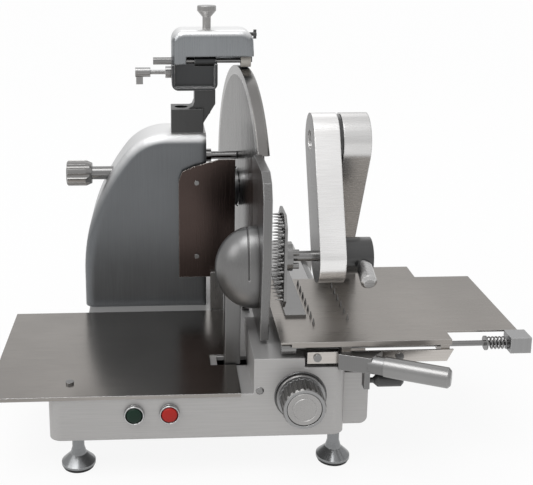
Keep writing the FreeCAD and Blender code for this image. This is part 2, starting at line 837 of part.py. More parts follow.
def gauge():
    """The thickness plate, its bulbous casting on a post, and the carrier that the cam pushes along a rod."""
    edge = "(blade_radius + guard_gap + 2 * running_gap)"
    top = "gauge_top_z"
    corners = [
        ("gauge_front + gauge_lean", "gauge_bottom_z"), ("blade_y - 80", "gauge_bottom_z"),
        ("blade_y - 80", "guard_cut_z - 3"), ("gauge_front + 116", "guard_cut_z - 3"),
        ("gauge_front + 106", top), ("gauge_front + gauge_corner", top),
        ("gauge_front + gauge_corner / 3", f"{top} - gauge_corner / 3"),
        ("gauge_front", f"{top} - gauge_corner"),
        ("gauge_front", "(gauge_bottom_z + gauge_top_z) / 2"),
    ]
    body = plate("gauge_plate", "YZ_Plane", corners, "gauge_thickness", (GAUGE_X, "front_y", "0"))
    round_pocket(body, "YZ_Plane", ("blade_y", "blade_z"), edge)
    oval = document.addObject("Part::Ellipsoid", "oval")
    bind(oval, "Radius1", "gauge_head_half_z")
    bind(oval, "Radius2", "gauge_head_half_x")
    bind(oval, "Radius3", "gauge_head_half_y")
    place(oval, ("gauge_head_x", "front_y + gauge_head_y", "gauge_head_z"))
    beyond = block((GAUGE_X, "front_y - base_depth", "0"),
                   ("base_width", "base_depth * 3", "gauge_top_z * 2"))
    seam = block(("gauge_head_x - seam_inset", "front_y", "gauge_head_z - seam_low"),
                 ("seam_width", "base_depth", "gauge_head_half_z * 2"))
    core = document.addObject("Part::Ellipsoid", "core")
    for number, word in enumerate(("gauge_head_half_z", "gauge_head_half_x", "gauge_head_half_y"), start=1):
        bind(core, f"Radius{number}", f"{word} - seam_deep")
    place(core, ("gauge_head_x", "front_y + gauge_head_y", "gauge_head_z"))
    piece(fuse([cut(oval, [beyond, cut(seam, [core])]), gauge_post()]), "gauge_head")
    rod_y = "front_y + post_y"
    carrier = block(("post_x - post_width / 2 - 8", f"{rod_y} - post_depth / 2 - 4", "gauge_rod_z - 14"),
                    (f"knob_x - post_x - {CAM_REACH} + post_width / 2 + 2", "post_depth + 8", "28"))
    finger = block((f"knob_x - {CAM_REACH} - 10", "front_y + cam_y", "gauge_rod_z"),
                   ("10", "post_y - cam_y", "knob_z - gauge_rod_z + 2"))
    trim = block((f"knob_x - {CAM_REACH}", "front_y", "foot_height"),
                 ("base_width", "base_depth", "base_height"))
    bore = rod(("gauge_rod_left", rod_y, "gauge_rod_z"), "gauge_rod_radius + fit_gap",
               "gauge_rod_right - gauge_rod_left", "X")
    piece(cut(fuse([carrier, finger]), [bore, trim, gauge_post()]), "gauge_carrier")
    piece(rod(("gauge_rod_left", rod_y, "gauge_rod_z"),
              "gauge_rod_radius", "gauge_rod_right - gauge_rod_left", "X"), "gauge_rod")


def gauge_post():
    """The post that carries the bulbous casting, up from the carrier."""
    low = "gauge_rod_z + gauge_rod_radius"
    return block(("post_x - post_width / 2", "front_y + post_y - post_depth / 2", f"{low} + 3"),
                 ("post_width", "post_depth", f"gauge_head_z - gauge_head_half_z / 2 - ({low})"))


def round_pocket(body, role, centre, radius):
    sketch = body.newObject("Sketcher::SketchObject", "round")
    sketch.AttachmentSupport = (origin_plane(body, role), [""])
    sketch.MapMode = "FlatFace"
    sketch.addGeometry(Part.Circle(Vector(10, 10, 0), Vector(0, 0, 1), 5))
    for kind, args, text in (("Radius", (0,), radius), ("DistanceX", (-1, 1, 0, 3), centre[0]),
                             ("DistanceY", (-1, 1, 0, 3), centre[1])):
        number = sketch.addConstraint(Sketcher.Constraint(kind, *args, 5.0))
        bind(sketch, f"Constraints[{number}]", text)
    pocket = body.newObject("PartDesign::Pocket", "pocket")
    pocket.Profile = sketch
    pocket.Type = 1
    pocket.Midplane = True
    body.Tip = pocket
    return pocket


# ---------------------------------------------------------------- drive housing
def arch_face(inset, y):
    """The housing's outline in a plane across Y.

    It has an upright left side, a wide shoulder arc, a tighter crown arc and a flat top.
    """
    left = size("housing_left_x")
    floor = size("foot_height") + size("base_height")
    across = size("crown_in")
    small = size("crown_radius")
    rise = size("housing_top_z") - size("shoulder_low_z")
    large = (across ** 2 + (rise - small) ** 2 - small ** 2) / (2 * (across - small))
    shoulder_middle = Vector(left + large, y, size("shoulder_low_z"))
    crown_middle = Vector(left + across, y, size("housing_top_z") - small)
    meeting = math.atan2(crown_middle.z - shoulder_middle.z, crown_middle.x - shoulder_middle.x)

    def on_arc(middle, radius, angle):
        return middle + Vector(math.cos(angle), 0, math.sin(angle)) * (radius - inset)

    side = on_arc(shoulder_middle, large, math.pi)
    shoulder = on_arc(shoulder_middle, large, meeting)
    crown = on_arc(crown_middle, small, math.pi / 2)
    corner = Vector(size("housing_right_x") - inset, y, crown.z)
    right_foot = Vector(corner.x, y, floor)
    left_foot = Vector(side.x, y, floor)
    curves = [
        Part.LineSegment(left_foot, side),
        Part.Arc(side, on_arc(shoulder_middle, large, (math.pi + meeting) / 2), shoulder),
        Part.Arc(shoulder, on_arc(crown_middle, small, (meeting + math.pi / 2) / 2), crown),
        Part.LineSegment(crown, corner),
        Part.LineSegment(corner, right_foot),
        Part.LineSegment(right_foot, left_foot),
    ]
    return Part.Face(Part.Wire([curve.toShape() for curve in curves]))


def housing_y(offset):
    return size("front_y") + size("housing_front") + offset


def x_bar(x, y, z, radius, length):
    return Part.makeCylinder(radius, length, Vector(x, y, z), Vector(1, 0, 0))


def drive_housing():
    wall = size("housing_wall")
    depth = size("housing_depth")
    back = size("back_cover_sheet")
    solid = arch_face(0, housing_y(0)).extrude(Vector(0, depth, 0))
    front_edges = [edge for edge in solid.Edges
                   if edge.BoundBox.YMax - edge.BoundBox.YMin < 0.01
                    and edge.BoundBox.YMax < housing_y(0) + 0.01
                   and edge.BoundBox.ZMax > size("foot_height") + size("base_height") + 0.01
                   and edge.BoundBox.XMin < size("housing_right_x") - 0.01]
    solid = solid.makeFillet(size("housing_edge"), front_edges)
    hollow = arch_face(wall, housing_y(wall)).extrude(Vector(0, depth, 0))
    boss_start = size("housing_right_x") - 2 * wall
    boss_length = size("guard_left_x") - 1 - boss_start
    blade_axis = (size("front_y") + size("blade_y"), size("blade_z"))
    boss = swung(x_bar(boss_start, *blade_axis, size("bearing_boss_radius"), boss_length))
    bearing = swung(x_bar(boss_start - 1, *blade_axis, size("bearing_radius"), boss_length + 2))
    tie = x_bar(size("tie_knob_x"), size("front_y") + size("tie_y"), size("tie_z"),
                size("tie_radius") + size("fit_gap"), size("crown_in") + wall)
    tie_boss = x_bar(size("tie_boss_x"), size("front_y") + size("tie_y"), size("tie_z"),
                     size("tie_radius") + wall, size("crown_in") / 2)
    tie_boss = tie_boss.common(arch_face(0, housing_y(0)).extrude(Vector(0, depth - back, 0)))
    stay = x_bar(size("housing_right_x") - 2 * wall, size("front_y") + size("blade_y"), size("stay_z"),
                 size("stay_radius"), 3 * wall)
    shape = solid.cut(hollow).fuse([tie_boss, boss]).cut(bearing).cut(tie).cut(stay)
    shaped("drive_housing", shape.removeSplitter())
    cover = arch_face(wall + size("running_gap"), housing_y(depth - back)).extrude(Vector(0, back, 0))
    shaped("housing_back_cover", cover)


def ring(x, y, z, outer, inner, width):
    hole = rod((f"{x} - 1", y, z), inner, f"{width} + 2", "X")
    return cut(rod((x, y, z), outer, width, "X"), [hole])


def blade_turn():
    """The turn of the blade and its drive about the upright line through the blade's centre."""
    centre = Vector(size("blade_face_x"), size("front_y") + size("blade_y"), 0)
    return Placement(Vector(), Rotation(Vector(0, 0, 1), size("blade_turn")), centre)


def swung(shape):
    """A copy of a shape turned with the blade."""
    copy = shape.copy()
    copy.transformShape(blade_turn().toMatrix(), True)
    return copy


def swing(item):
    """Turns a finished item with the blade."""
    document.recompute()
    for letter in "xyz":
        item.setExpression(f"Placement.Base.{letter}", None)
    item.Placement = blade_turn().multiply(item.Placement)
    return item


BLADE_AXIS = ("front_y + blade_y", "blade_z")
MOTOR_AXIS = ("front_y + motor_y", "motor_z")


def blade_and_shaft():
    y, z = BLADE_AXIS
    profile = [
        ("0", "0"), ("blade_radius - blade_bevel", "0"), ("blade_radius", "blade_thickness - blade_tip"),
        ("blade_radius", "blade_thickness"), ("0", "blade_thickness"),
    ]
    swing(turned("blade", profile, ("blade_face_x - blade_thickness", y, z), "X"))
    start = "(pulley_x - 4)"
    back = "(blade_face_x - blade_thickness)"
    swing(piece(fuse([rod((f"{back} - hub_thickness", y, z), "hub_radius", "hub_thickness", "X"),
                      rod((start, y, z), "shaft_radius", f"{back} - {start}", "X")]
                     + pulley(BLADE_AXIS, "blade_pulley_radius")), "blade_shaft"))
    boss_start = "housing_right_x - housing_wall * 2"
    boss_end = "guard_left_x - 1"
    swing(piece(group([ring(x, y, z, "bearing_radius", "shaft_radius + fit_gap", "bearing_width")
                       for x in (f"{boss_start} + 2", f"{boss_end} - 2 - bearing_width")]), "blade_bearings"))


def pulley(axis, radius):
    """The solids of a flat-belt pulley with a flange on each side."""
    y, z = axis
    rim = f"({radius} + belt_thickness)"
    return [rod(("pulley_x", y, z), radius, "pulley_width", "X"),
            rod(("pulley_x", y, z), rim, "pulley_flange", "X"),
            rod(("pulley_x + pulley_width - pulley_flange", y, z), rim, "pulley_flange", "X")]


def motor():
    y, z = MOTOR_AXIS
    left = "motor_left_x"
    face = "(motor_left_x + motor_length)"
    shaft = rod((f"{face} + running_gap", y, z), "motor_shaft_radius",
                f"pulley_x + pulley_width - {face}", "X")
    swing(piece(fuse([shaft] + pulley(MOTOR_AXIS, "motor_pulley_radius")), "motor_pulley"))
    cradle = block(("motor_left_x + 8", f"{y} - motor_radius * 0.7", BASE_TOP),
                   ("motor_length - 16", "motor_radius * 1.4", f"{z} - {BASE_TOP}"))
    swing(piece(fuse([cradle, rod((left, y, z), "motor_radius", "motor_length", "X")]), "motor"))


def loop_face(x, ends):
    """The area inside a belt stretched round two circles; ends are (y, z, radius)."""
    (y1, z1, r1), (y2, z2, r2) = ends
    reach = math.hypot(y2 - y1, z2 - z1)
    heading = math.atan2(z2 - z1, y2 - y1)
    lean = math.acos((r1 - r2) / reach)

    def on_circle(y, z, radius, angle):
        return Vector(x, y + radius * math.cos(angle), z + radius * math.sin(angle))

    up, down = heading + lean, heading - lean
    a, b = on_circle(y1, z1, r1, up), on_circle(y2, z2, r2, up)
    c, d = on_circle(y2, z2, r2, down), on_circle(y1, z1, r1, down)
    far, near = on_circle(y2, z2, r2, heading), on_circle(y1, z1, r1, heading + math.pi)
    curves = [Part.LineSegment(a, b), Part.Arc(b, far, c), Part.LineSegment(c, d), Part.Arc(d, near, a)]
    return Part.Face(Part.Wire([curve.toShape() for curve in curves]))


def drive_belt():
    gap = size("running_gap")
    thick = size("belt_thickness") - 2 * gap
    x = size("pulley_x") + 2
    blade_end = (size("front_y") + size("blade_y"), size("blade_z"), size("blade_pulley_radius") + gap)
    motor_end = (size("front_y") + size("motor_y"), size("motor_z"), size("motor_pulley_radius") + gap)
    outer = loop_face(x, [(y, z, r + thick) for y, z, r in (blade_end, motor_end)])
    band = outer.cut(loop_face(x, [blade_end, motor_end]))
    shaped("drive_belt", swung(band.extrude(Vector(size("pulley_width") - 4, 0, 0))))


def ring_guard():
    """Ring round the blade: a plain rim behind and below, widened over the edge above the food space."""
    y, z = size("front_y") + size("blade_y"), size("blade_z")
    inner = size("blade_radius") + size("guard_gap")
    outer = inner + size("guard_rim")
    left = size("guard_left_x")
    blade_face = size("blade_face_x")
    face = blade_face - size("running_gap") * 2
    over = blade_face + size("guard_over")
    rim = x_bar(left, y, z, outer, face - left).cut(x_bar(left - 1, y, z, inner, face - left + 2))
    lip_inner = size("blade_radius") - size("guard_rim") / 2
    hood = x_bar(left, y, z, outer, over - left).cut(x_bar(left - 1, y, z, inner, blade_face + 1 + 1 - left))
    hood = hood.cut(x_bar(blade_face, y, z, lip_inner, over))
    outer_corner = [edge for edge in hood.Edges
                    if edge.BoundBox.XMin > over - 0.01 and edge.Length > outer * 6]
    hood = hood.makeChamfer(size("guard_over") * 0.6, outer_corner)
    reach = 3 * outer
    above = Part.makeBox(reach, 2 * reach, reach, Vector(left - 1, y - reach, size("guard_cut_z")))
    front_low = Part.makeBox(reach, reach, reach, Vector(left - 1, y - reach, size("guard_cut_z") - reach))
    sill = Part.makeBox(reach, 2 * reach, reach,
                        Vector(left - 1, y - reach, size("foot_height") + size("base_height") - reach))
    low_front = front_low.common(Part.makeBox(reach, reach, reach,
                                              Vector(left - 1, y - reach, size("guard_foot_z"))))
    shape = rim.cut(low_front).fuse(hood.common(above)).cut(sill)
    shaped("ring_guard", swung(shape.removeSplitter()))
    web = size("guard_web")
    passage = x_bar(left - 1, y, z, size("hub_radius") + size("hub_play"), web + 2)
    back = x_bar(left, y, z, inner, web).cut(passage)
    shaped("blade_back_plate", swung(back.cut(sill)))


def slice_deflector(tray_screw):
    left, right = "deflector_left_x", "deflector_right_x"
    top, low = "deflector_top_z", "deflector_bottom_z"
    corners = [
        (left, low), (right, low), (right, f"{top} + deflector_crown"),
        (f"{right} - deflector_crown_width", f"{top} + deflector_crown"),
        (f"{left} + deflector_corner + 6", top),
        (f"{left} + deflector_corner / 3", f"{top} - deflector_corner / 2"),
        (left, f"{top} - deflector_corner * 1.4"),
    ]
    plate("slice_deflector", "XZ_Plane", corners, "deflector_sheet",
          ("0", "front_y + deflector_y + deflector_sheet", "0"))
    screws = []
    spacers = []
    start = "front_y + deflector_y"
    for z in (f"{top} - panel_screw_down", f"{low} + panel_screw_up"):
        x = f"{left} + panel_screw_inset"
        screws.append(rod((x, f"{start} - panel_screw_height", z), "screw_head_radius * 0.7",
                          "panel_screw_height", "Y"))
        spacers.append(rod((x, f"{start} + deflector_sheet", z), "screw_radius * 1.6",
                           "housing_front - deflector_y - deflector_sheet", "Y"))
    piece(group(screws + [tray_screw]), "panel_screws")
    foot_x = f"{right} - bracket_inset"
    foot_y = f"{start} - bracket_front"
    lower = block((foot_x, foot_y, BASE_TOP), ("bracket_width", "bracket_depth", f"{low} - {BASE_TOP}"))
    step = block((foot_x, foot_y, f"{low} + 2"), ("bracket_front", "bracket_front", "9"))
    neck = block((foot_x, foot_y, f"{low} - 1"), ("bracket_front", "bracket_neck", "4"))
    piece(group(spacers + [fuse([lower, step, neck])]), "deflector_bracket")


def tie_rod_and_stay():
    y, z = "front_y + tie_y", "tie_z"
    body = turned("tie_rod_knob", [
        ("0", "0"), ("tie_knob_radius - 2", "0"), ("tie_knob_radius", "2"),
        ("tie_knob_radius", "tie_knob_length - 8"),
        ("tie_knob_radius * 0.8", "tie_knob_length"), ("0", "tie_knob_length"),
    ], ("tie_knob_x", y, z), "X")
    flute(body, "tie_knob_radius + 2", "tie_flute_radius", "tie_flutes", "-1")
    piece(rod(("tie_knob_x + tie_knob_length", y, z), "tie_radius", "tie_rod_length", "X"), "tie_rod")
    y, z = "front_y + blade_y", "stay_z"
    start = "housing_right_x - housing_wall"
    piece(fuse([rod((start, y, z), "stay_radius", f"guard_left_x - 2 * running_gap - ({start})", "X"),
                rod(("housing_right_x", y, z), "stay_nut_radius", "stay_nut_width", "X")]), "guard_stay")


# ---------------------------------------------------------------- carriage
def carriage():
    foot_x = f"({BASE_RIGHT} + carriage_gap)"
    foot_y = "front_y + carriage_foot_front"
    saddle_z = f"({STEP_TOP} + carriage_gap)"
    column = block((foot_x, foot_y, "carriage_foot_bottom_z"),
                   ("(rail_x - (base_left_x + base_width) - carriage_gap) * 2", "carriage_foot_length",
                    f"{saddle_z} - carriage_foot_bottom_z"))
    bores = [rod(("rail_x", f"{foot_y} - 1", z), "bush_radius", "carriage_foot_length + 2", "Y")
             for z in ("rail_low_z", "rail_high_z")]
    bushes = []
    for z in ("rail_low_z", "rail_high_z"):
        for y in (foot_y, f"{foot_y} + carriage_foot_length - bush_length"):
            bore = rod(("rail_x", f"{y} - 1", z), "rail_radius + fit_gap", "bush_length + 2", "Y")
            bushes.append(cut(rod(("rail_x", y, z), "bush_radius", "bush_length", "Y"), [bore]))
    piece(group(bushes), "rail_bushes")
    piece(group([rod(("rail_x", "front_y + rail_front + rail_cover", z), "rail_radius",
                     "base_depth - rail_front - rail_cover", "Y") for z in ("rail_low_z", "rail_high_z")]),
          "carriage_rails")
    top = "(table_z - running_gap)"
    saddle = block(("saddle_left_x", "front_y + saddle_front", saddle_z),
                   ("saddle_right_x - saddle_left_x", "saddle_depth", f"{top} - {saddle_z}"))
    ears = [block((x, "front_y + front_plate_y + front_plate_sheet", saddle_z),
                  ("ear_width", "saddle_front - front_plate_y - front_plate_sheet", f"{top} - 2 - {saddle_z}"))
            for x in ("saddle_left_x + ear_left", "saddle_right_x - ear_right")]
    bore = rod(("saddle_left_x", "front_y + hinge_y", "hinge_z"), "hinge_rod_radius + fit_gap",
               "saddle_right_x - saddle_left_x", "X")
    piece(cut(fuse([saddle, column] + ears), bores + [bore]), "carriage_saddle")
    plate("carriage_front_plate", "XZ_Plane", [
        ("front_plate_left_x", "front_plate_bottom_z"),
        ("front_plate_right_x - front_plate_slant", "front_plate_bottom_z"),
        ("front_plate_right_x", "front_plate_top_z"), ("front_plate_left_x", "front_plate_top_z"),
    ], "front_plate_sheet", ("0", "front_y + front_plate_y + front_plate_sheet", "0"))
    screw_y, screw_z = "front_y + front_plate_y - plate_screw_height", "front_plate_bottom_z + plate_screw_up"
    places = ("front_plate_left_x + plate_screw_left", "front_plate_right_x - plate_screw_right")
    piece(group([rod((x, screw_y, screw_z), "screw_head_radius", "plate_screw_height", "Y") for x in places]),
          "front_plate_screws")


def carriage_handle():
    """A wedge block on the front plate, with the push grip and its locking knob on the slanting side."""
    back = "(front_y + front_plate_y)"
    low = "(front_plate_top_z - handle_block_height)"
    wedge = panel("handle_wedge", "XY_Plane", [
        ("handle_block_x", back), ("handle_block_x", f"{back} - handle_block_thin"),
        ("handle_corner_x", f"{back} - handle_block_deep"), ("handle_end_x", back),
    ], "handle_block_height", ("0", "0", low))
    axis_z = "(front_plate_top_z - grip_radius + 0.5)"
    root = ("handle_corner_x", f"{back} - handle_block_deep / 2", axis_z)
    neck = rod(root, "grip_radius - 1", "grip_start", "X")
    turn_grip(neck)
    lug = block(("handle_corner_x - lug_width", f"{back} - handle_block_deep + 2", "lock_z - lock_radius"),
                ("lug_width", "handle_block_deep - 6", f"{low} - lock_z + lock_radius"))
    lock_hole = rod(("handle_corner_x - lug_width + 1", f"{back} - handle_block_deep / 2", "lock_z"),
                    "lock_stem + fit_gap", "lug_width", "X")
    piece(cut(fuse([wedge, neck, lug]), [lock_hole]), "handle_block")
    grip = turned("carriage_grip", [
        ("0", "grip_start"), ("grip_radius", "grip_start"), ("grip_radius", "grip_start + grip_length - 3"),
        ("grip_radius - 3", "grip_start + grip_length"), ("0", "grip_start + grip_length"),
    ], root, "X")
    turn_grip(grip)
    turned("carriage_lock", [
        ("0", "0"), ("lock_stem", "0"), ("lock_stem", "lug_width + 3"), ("lock_radius", "lug_width + 8"),
        ("lock_radius", "lock_length - 3"), ("lock_radius - 3", "lock_length"), ("0", "lock_length"),
    ], ("handle_corner_x - lug_width + 2", f"{back} - handle_block_deep / 2", "lock_z"), "X")


def turn_grip(item):
    """Points an X-wise item to the right and towards the operator, level with the table."""
    turn = Rotation(Vector(0, 0, 1), -size("grip_turn"))
    item.Placement = Placement(item.Placement.Base, turn.multiply(ALONG["X"]))


# ---------------------------------------------------------------- food table
def food_table():
    front = "(front_y - table_front)"
    bay_x = "(end_block_x - rod_bay_width)"
    sheet_part = block(("table_left_x", front, "table_z"),
                       ("table_right_x - table_left_x", "table_depth + table_front", "table_sheet"))
    lip = block(("table_left_x + table_lip_inset", front, "table_z + table_sheet - table_lip"),
                (f"{bay_x} - table_left_x - table_lip_inset", "table_lip_sheet", "table_lip"))
    tab = block(("tab_left_x", "front_y + table_depth", "table_z"),
                ("tab_right_x - tab_left_x", "tab_depth", "table_sheet"))
    corner = block((bay_x, f"{front} - 1", "table_z - table_lip"),
                   (f"table_right_x - {bay_x} + 1", "end_block_depth + 1", "table_lip * 3"))
    spikes = [cone((x, y, "table_z + table_sheet"), "spike_radius", "spike_radius / 4", "spike_height", "Z")
              for x, y in spike_places()]
    piece(cut(fuse([sheet_part, lip, tab]), [corner]), "food_table")
    axis = ("front_y + hinge_y", "hinge_z")
    end_top = "(table_z + table_sheet)"
    piece(cut(block(("end_block_x", front, f"{end_top} - end_block_height + end_block_raise"),
                    ("end_block_width", "end_block_depth", "end_block_height - end_block_raise")),
              [rod(("end_block_x - 1", *axis), "hinge_rod_radius", "end_block_width + 2", "X")]), "end_block")
    piece(fuse([rod(("nut_x", *axis), "hinge_rod_radius", "end_block_x + end_block_width - nut_x", "X"),
                rod(("nut_x", *axis), "nut_radius", "nut_width", "X"),
                rod(("end_block_x - spring_length - spring_washer - 1", *axis), "spring_radius",
                    "spring_washer", "X")]), "slide_rod")
    stop_spring()
    side_stop = block(("table_left_x + side_stop_inset", "front_y + side_stop_front", "table_z + table_sheet"),
                      ("side_stop_width", "side_stop_length", "side_stop_height"))
    piece(group(spikes + [side_stop]), "table_inserts")


def spike_places():
    count = round(size("spike_count"))
    places = [("spike_row_x", f"front_y + spike_front + {k} * spike_pitch") for k in range(count)]
    places += [("spike_row_x + spike_row_gap", f"front_y + spike_front + ({k} + 0.5) * spike_pitch")
               for k in range(count - 1)]
    return places


def stop_spring():
    turns = size("spring_turns")
    length = size("spring_length")
    wire = size("spring_wire")
    path = Part.makeHelix((length - wire) / turns, length - wire, size("spring_radius") - wire)
    section = Part.Wire([Part.makeCircle(wire / 2, path.Vertexes[0].Point, Vector(0, 1, 0))])
    coil = Part.Wire(path.Edges).makePipeShell([section], True, True)
    start = Vector(size("end_block_x") - length + wire / 2, size("front_y") + size("hinge_y"), size("hinge_z"))
    shaped("stop_spring", coil, start, "X")


# ---------------------------------------------------------------- holding arm
def link(x, low, high, width):
    """A link of the arm: two round ends joined by their common tangents, given width along X."""
    return loop_face(x, [low, high]).extrude(Vector(width, 0, 0))


def arm_point(word, gap=0.0):
    return (size("front_y") + size(f"{word}_y"), size(f"{word}_z"), size(f"{word}_radius") - gap)


def holding_arm():
    base, elbow, wrist = arm_point("arm_base"), arm_point("elbow"), arm_point("wrist")
    gap = size("running_gap")
    pivot = size("pivot_radius")
    fit = pivot + size("fit_gap")
    width = size("link_width")
    lower_x = size("lower_link_x")
    washer_x = lower_x + width + gap
    upper_x = washer_x + size("washer_width") + gap
    lower = link(lower_x, wrist, elbow, width)
    spindle_bore = size("clamp_spindle_radius") + size("fit_gap")
    lower = lower.cut(x_bar(lower_x - 1, wrist[0], wrist[1], spindle_bore, width + 2))
    rear_width = size("rear_link_width")
    pin = x_bar(lower_x, elbow[0], elbow[1], pivot, upper_x + rear_width - lower_x)
    depth = size("pivot_recess_depth")
    recess = x_bar(lower_x - 1, elbow[0], elbow[1], size("pivot_recess_radius"), depth + 1)
    shaped("front_link", lower.fuse(pin).cut(recess).removeSplitter())
    upper = link(upper_x, base, elbow, rear_width)
    for y, z, _ in (elbow, base):
        upper = upper.cut(x_bar(upper_x - 1, y, z, fit, rear_width + 2))
    shaped("rear_link", upper)
    washer = x_bar(washer_x, elbow[0], elbow[1], elbow[2] - 2, size("washer_width"))
    shaped("elbow_washer", washer.cut(x_bar(washer_x - 1, elbow[0], elbow[1], fit, width)))
    arm_stand(base, upper_x)


def arm_stand(base, link_x):
    """The forked stand on the table: two cheeks, their sole and the pivot of the rear link."""
    gap, cheek = size("running_gap"), size("cheek_width")
    table_top = size("table_z") + size("table_sheet")
    radius = base[2] - size("arm_inset")
    rear_width = size("rear_link_width")
    cheeks = []
    for x in (link_x - gap - cheek, link_x + rear_width + gap):
        upright_part = Part.makeBox(cheek, 2 * radius, base[1] - table_top,
                                    Vector(x, base[0] - radius, table_top))
        cheeks.append(upright_part.fuse(x_bar(x, base[0], base[1], radius, cheek)))
    start = link_x - gap - cheek
    span = rear_width + 2 * (cheek + gap)
    sole = Part.makeBox(span, 2 * radius, size("arm_sole"), Vector(start, base[0] - radius, table_top))
    stand = cheeks[0].fuse([cheeks[1], sole])
    pin = x_bar(start, base[0], base[1], size("pivot_radius"), span)
    shaped("arm_stand", stand.fuse(pin).removeSplitter())


def food_clamp():
    y, z = "front_y + wrist_y", "wrist_z"
    plate_x = "(clamp_plate_x)"
    half_y, half_z = "clamp_plate_half_y", "clamp_plate_half_z"
    corner = "clamp_plate_half_y / 2.5"
    sheet_text = "clamp_plate_sheet"
    outline = []
    for side_y, side_z, swap in ((1, 1, True), (-1, 1, False), (-1, -1, True), (1, -1, False)):
        near = (f"{side_y} * {half_y}", f"{side_z} * ({half_z} - {corner})")
        far = (f"{side_y} * ({half_y} - {corner})", f"{side_z} * {half_z}")
        outline += [near, far] if swap else [far, near]
    face = panel("clamp_face", "YZ_Plane", outline, sheet_text, (plate_x, y, z))
    rows, columns = round(size("tooth_rows")), round(size("tooth_columns"))
    teeth = []
    for row in range(rows):
        for column in range(columns):
            ty = f"{y} + ({column} - ({columns} - 1) / 2) * tooth_pitch"
            tz = f"{z} + ({row} - ({rows} - 1) / 2) * tooth_pitch"
            teeth.append(cone((f"{plate_x} - tooth_length", ty, tz), "tooth_radius / 5", "tooth_radius",
                              "tooth_length", "X"))
    piece(fuse([face] + teeth), "clamp_plate")
    collar_x = f"({plate_x} + {sheet_text})"
    studs = [rod((f"{collar_x} + clamp_collar_width", f"{y} - clamp_stud_y", f"{z} + {side} * clamp_stud_z"),
                 "clamp_stud_radius", "clamp_stud_length", "X") for side in (1, -1)]
    knob_x = "(lower_link_x + link_width + running_gap)"
    piece(fuse(studs + [rod((collar_x, y, z), "clamp_collar_radius", "clamp_collar_width", "X"),
                        rod((collar_x, y, z), "clamp_spindle_radius",
                            f"{knob_x} + lock_knob_width - 4 - {collar_x}", "X")]), "clamp_spindle")
    piece(ring(knob_x, y, z, "lock_knob_radius", "clamp_spindle_radius + fit_gap", "lock_knob_width"),
          "clamp_lock_knob")
    lever = turned("clamp_lever", [
        ("0", "0"), ("lever_radius * lever_neck", "0"), ("lever_radius * lever_neck", "4"),
        ("lever_radius", "6"),
        ("lever_radius", "lever_length - 3"), ("lever_radius - 3", "lever_length"), ("0", "lever_length"),
    ], (f"{knob_x} + lock_knob_width - lever_inset", f"{y} - lock_knob_radius + 1", f"{z} - lever_low"), "Y")
    lever.Placement = Placement(lever.Placement.Base, Rotation(Vector(1, 0, 0), size("lever_lean")))


# ---------------------------------------------------------------- sharpener
STONE_Z = "(blade_z + blade_radius + guard_gap + guard_rim + stone_gap_z + stone_radius)"


COVER_RIGHT = "(sharpener_left_x + cover_width)"
MID_Y = "(front_y + sharpener_front + sharpener_depth / 2)"
STONE_Y = "(front_y + sharpener_front + stone_inset)"
COVER_SCREW_Z = "(cover_top_z - cover_round * 0.5)"


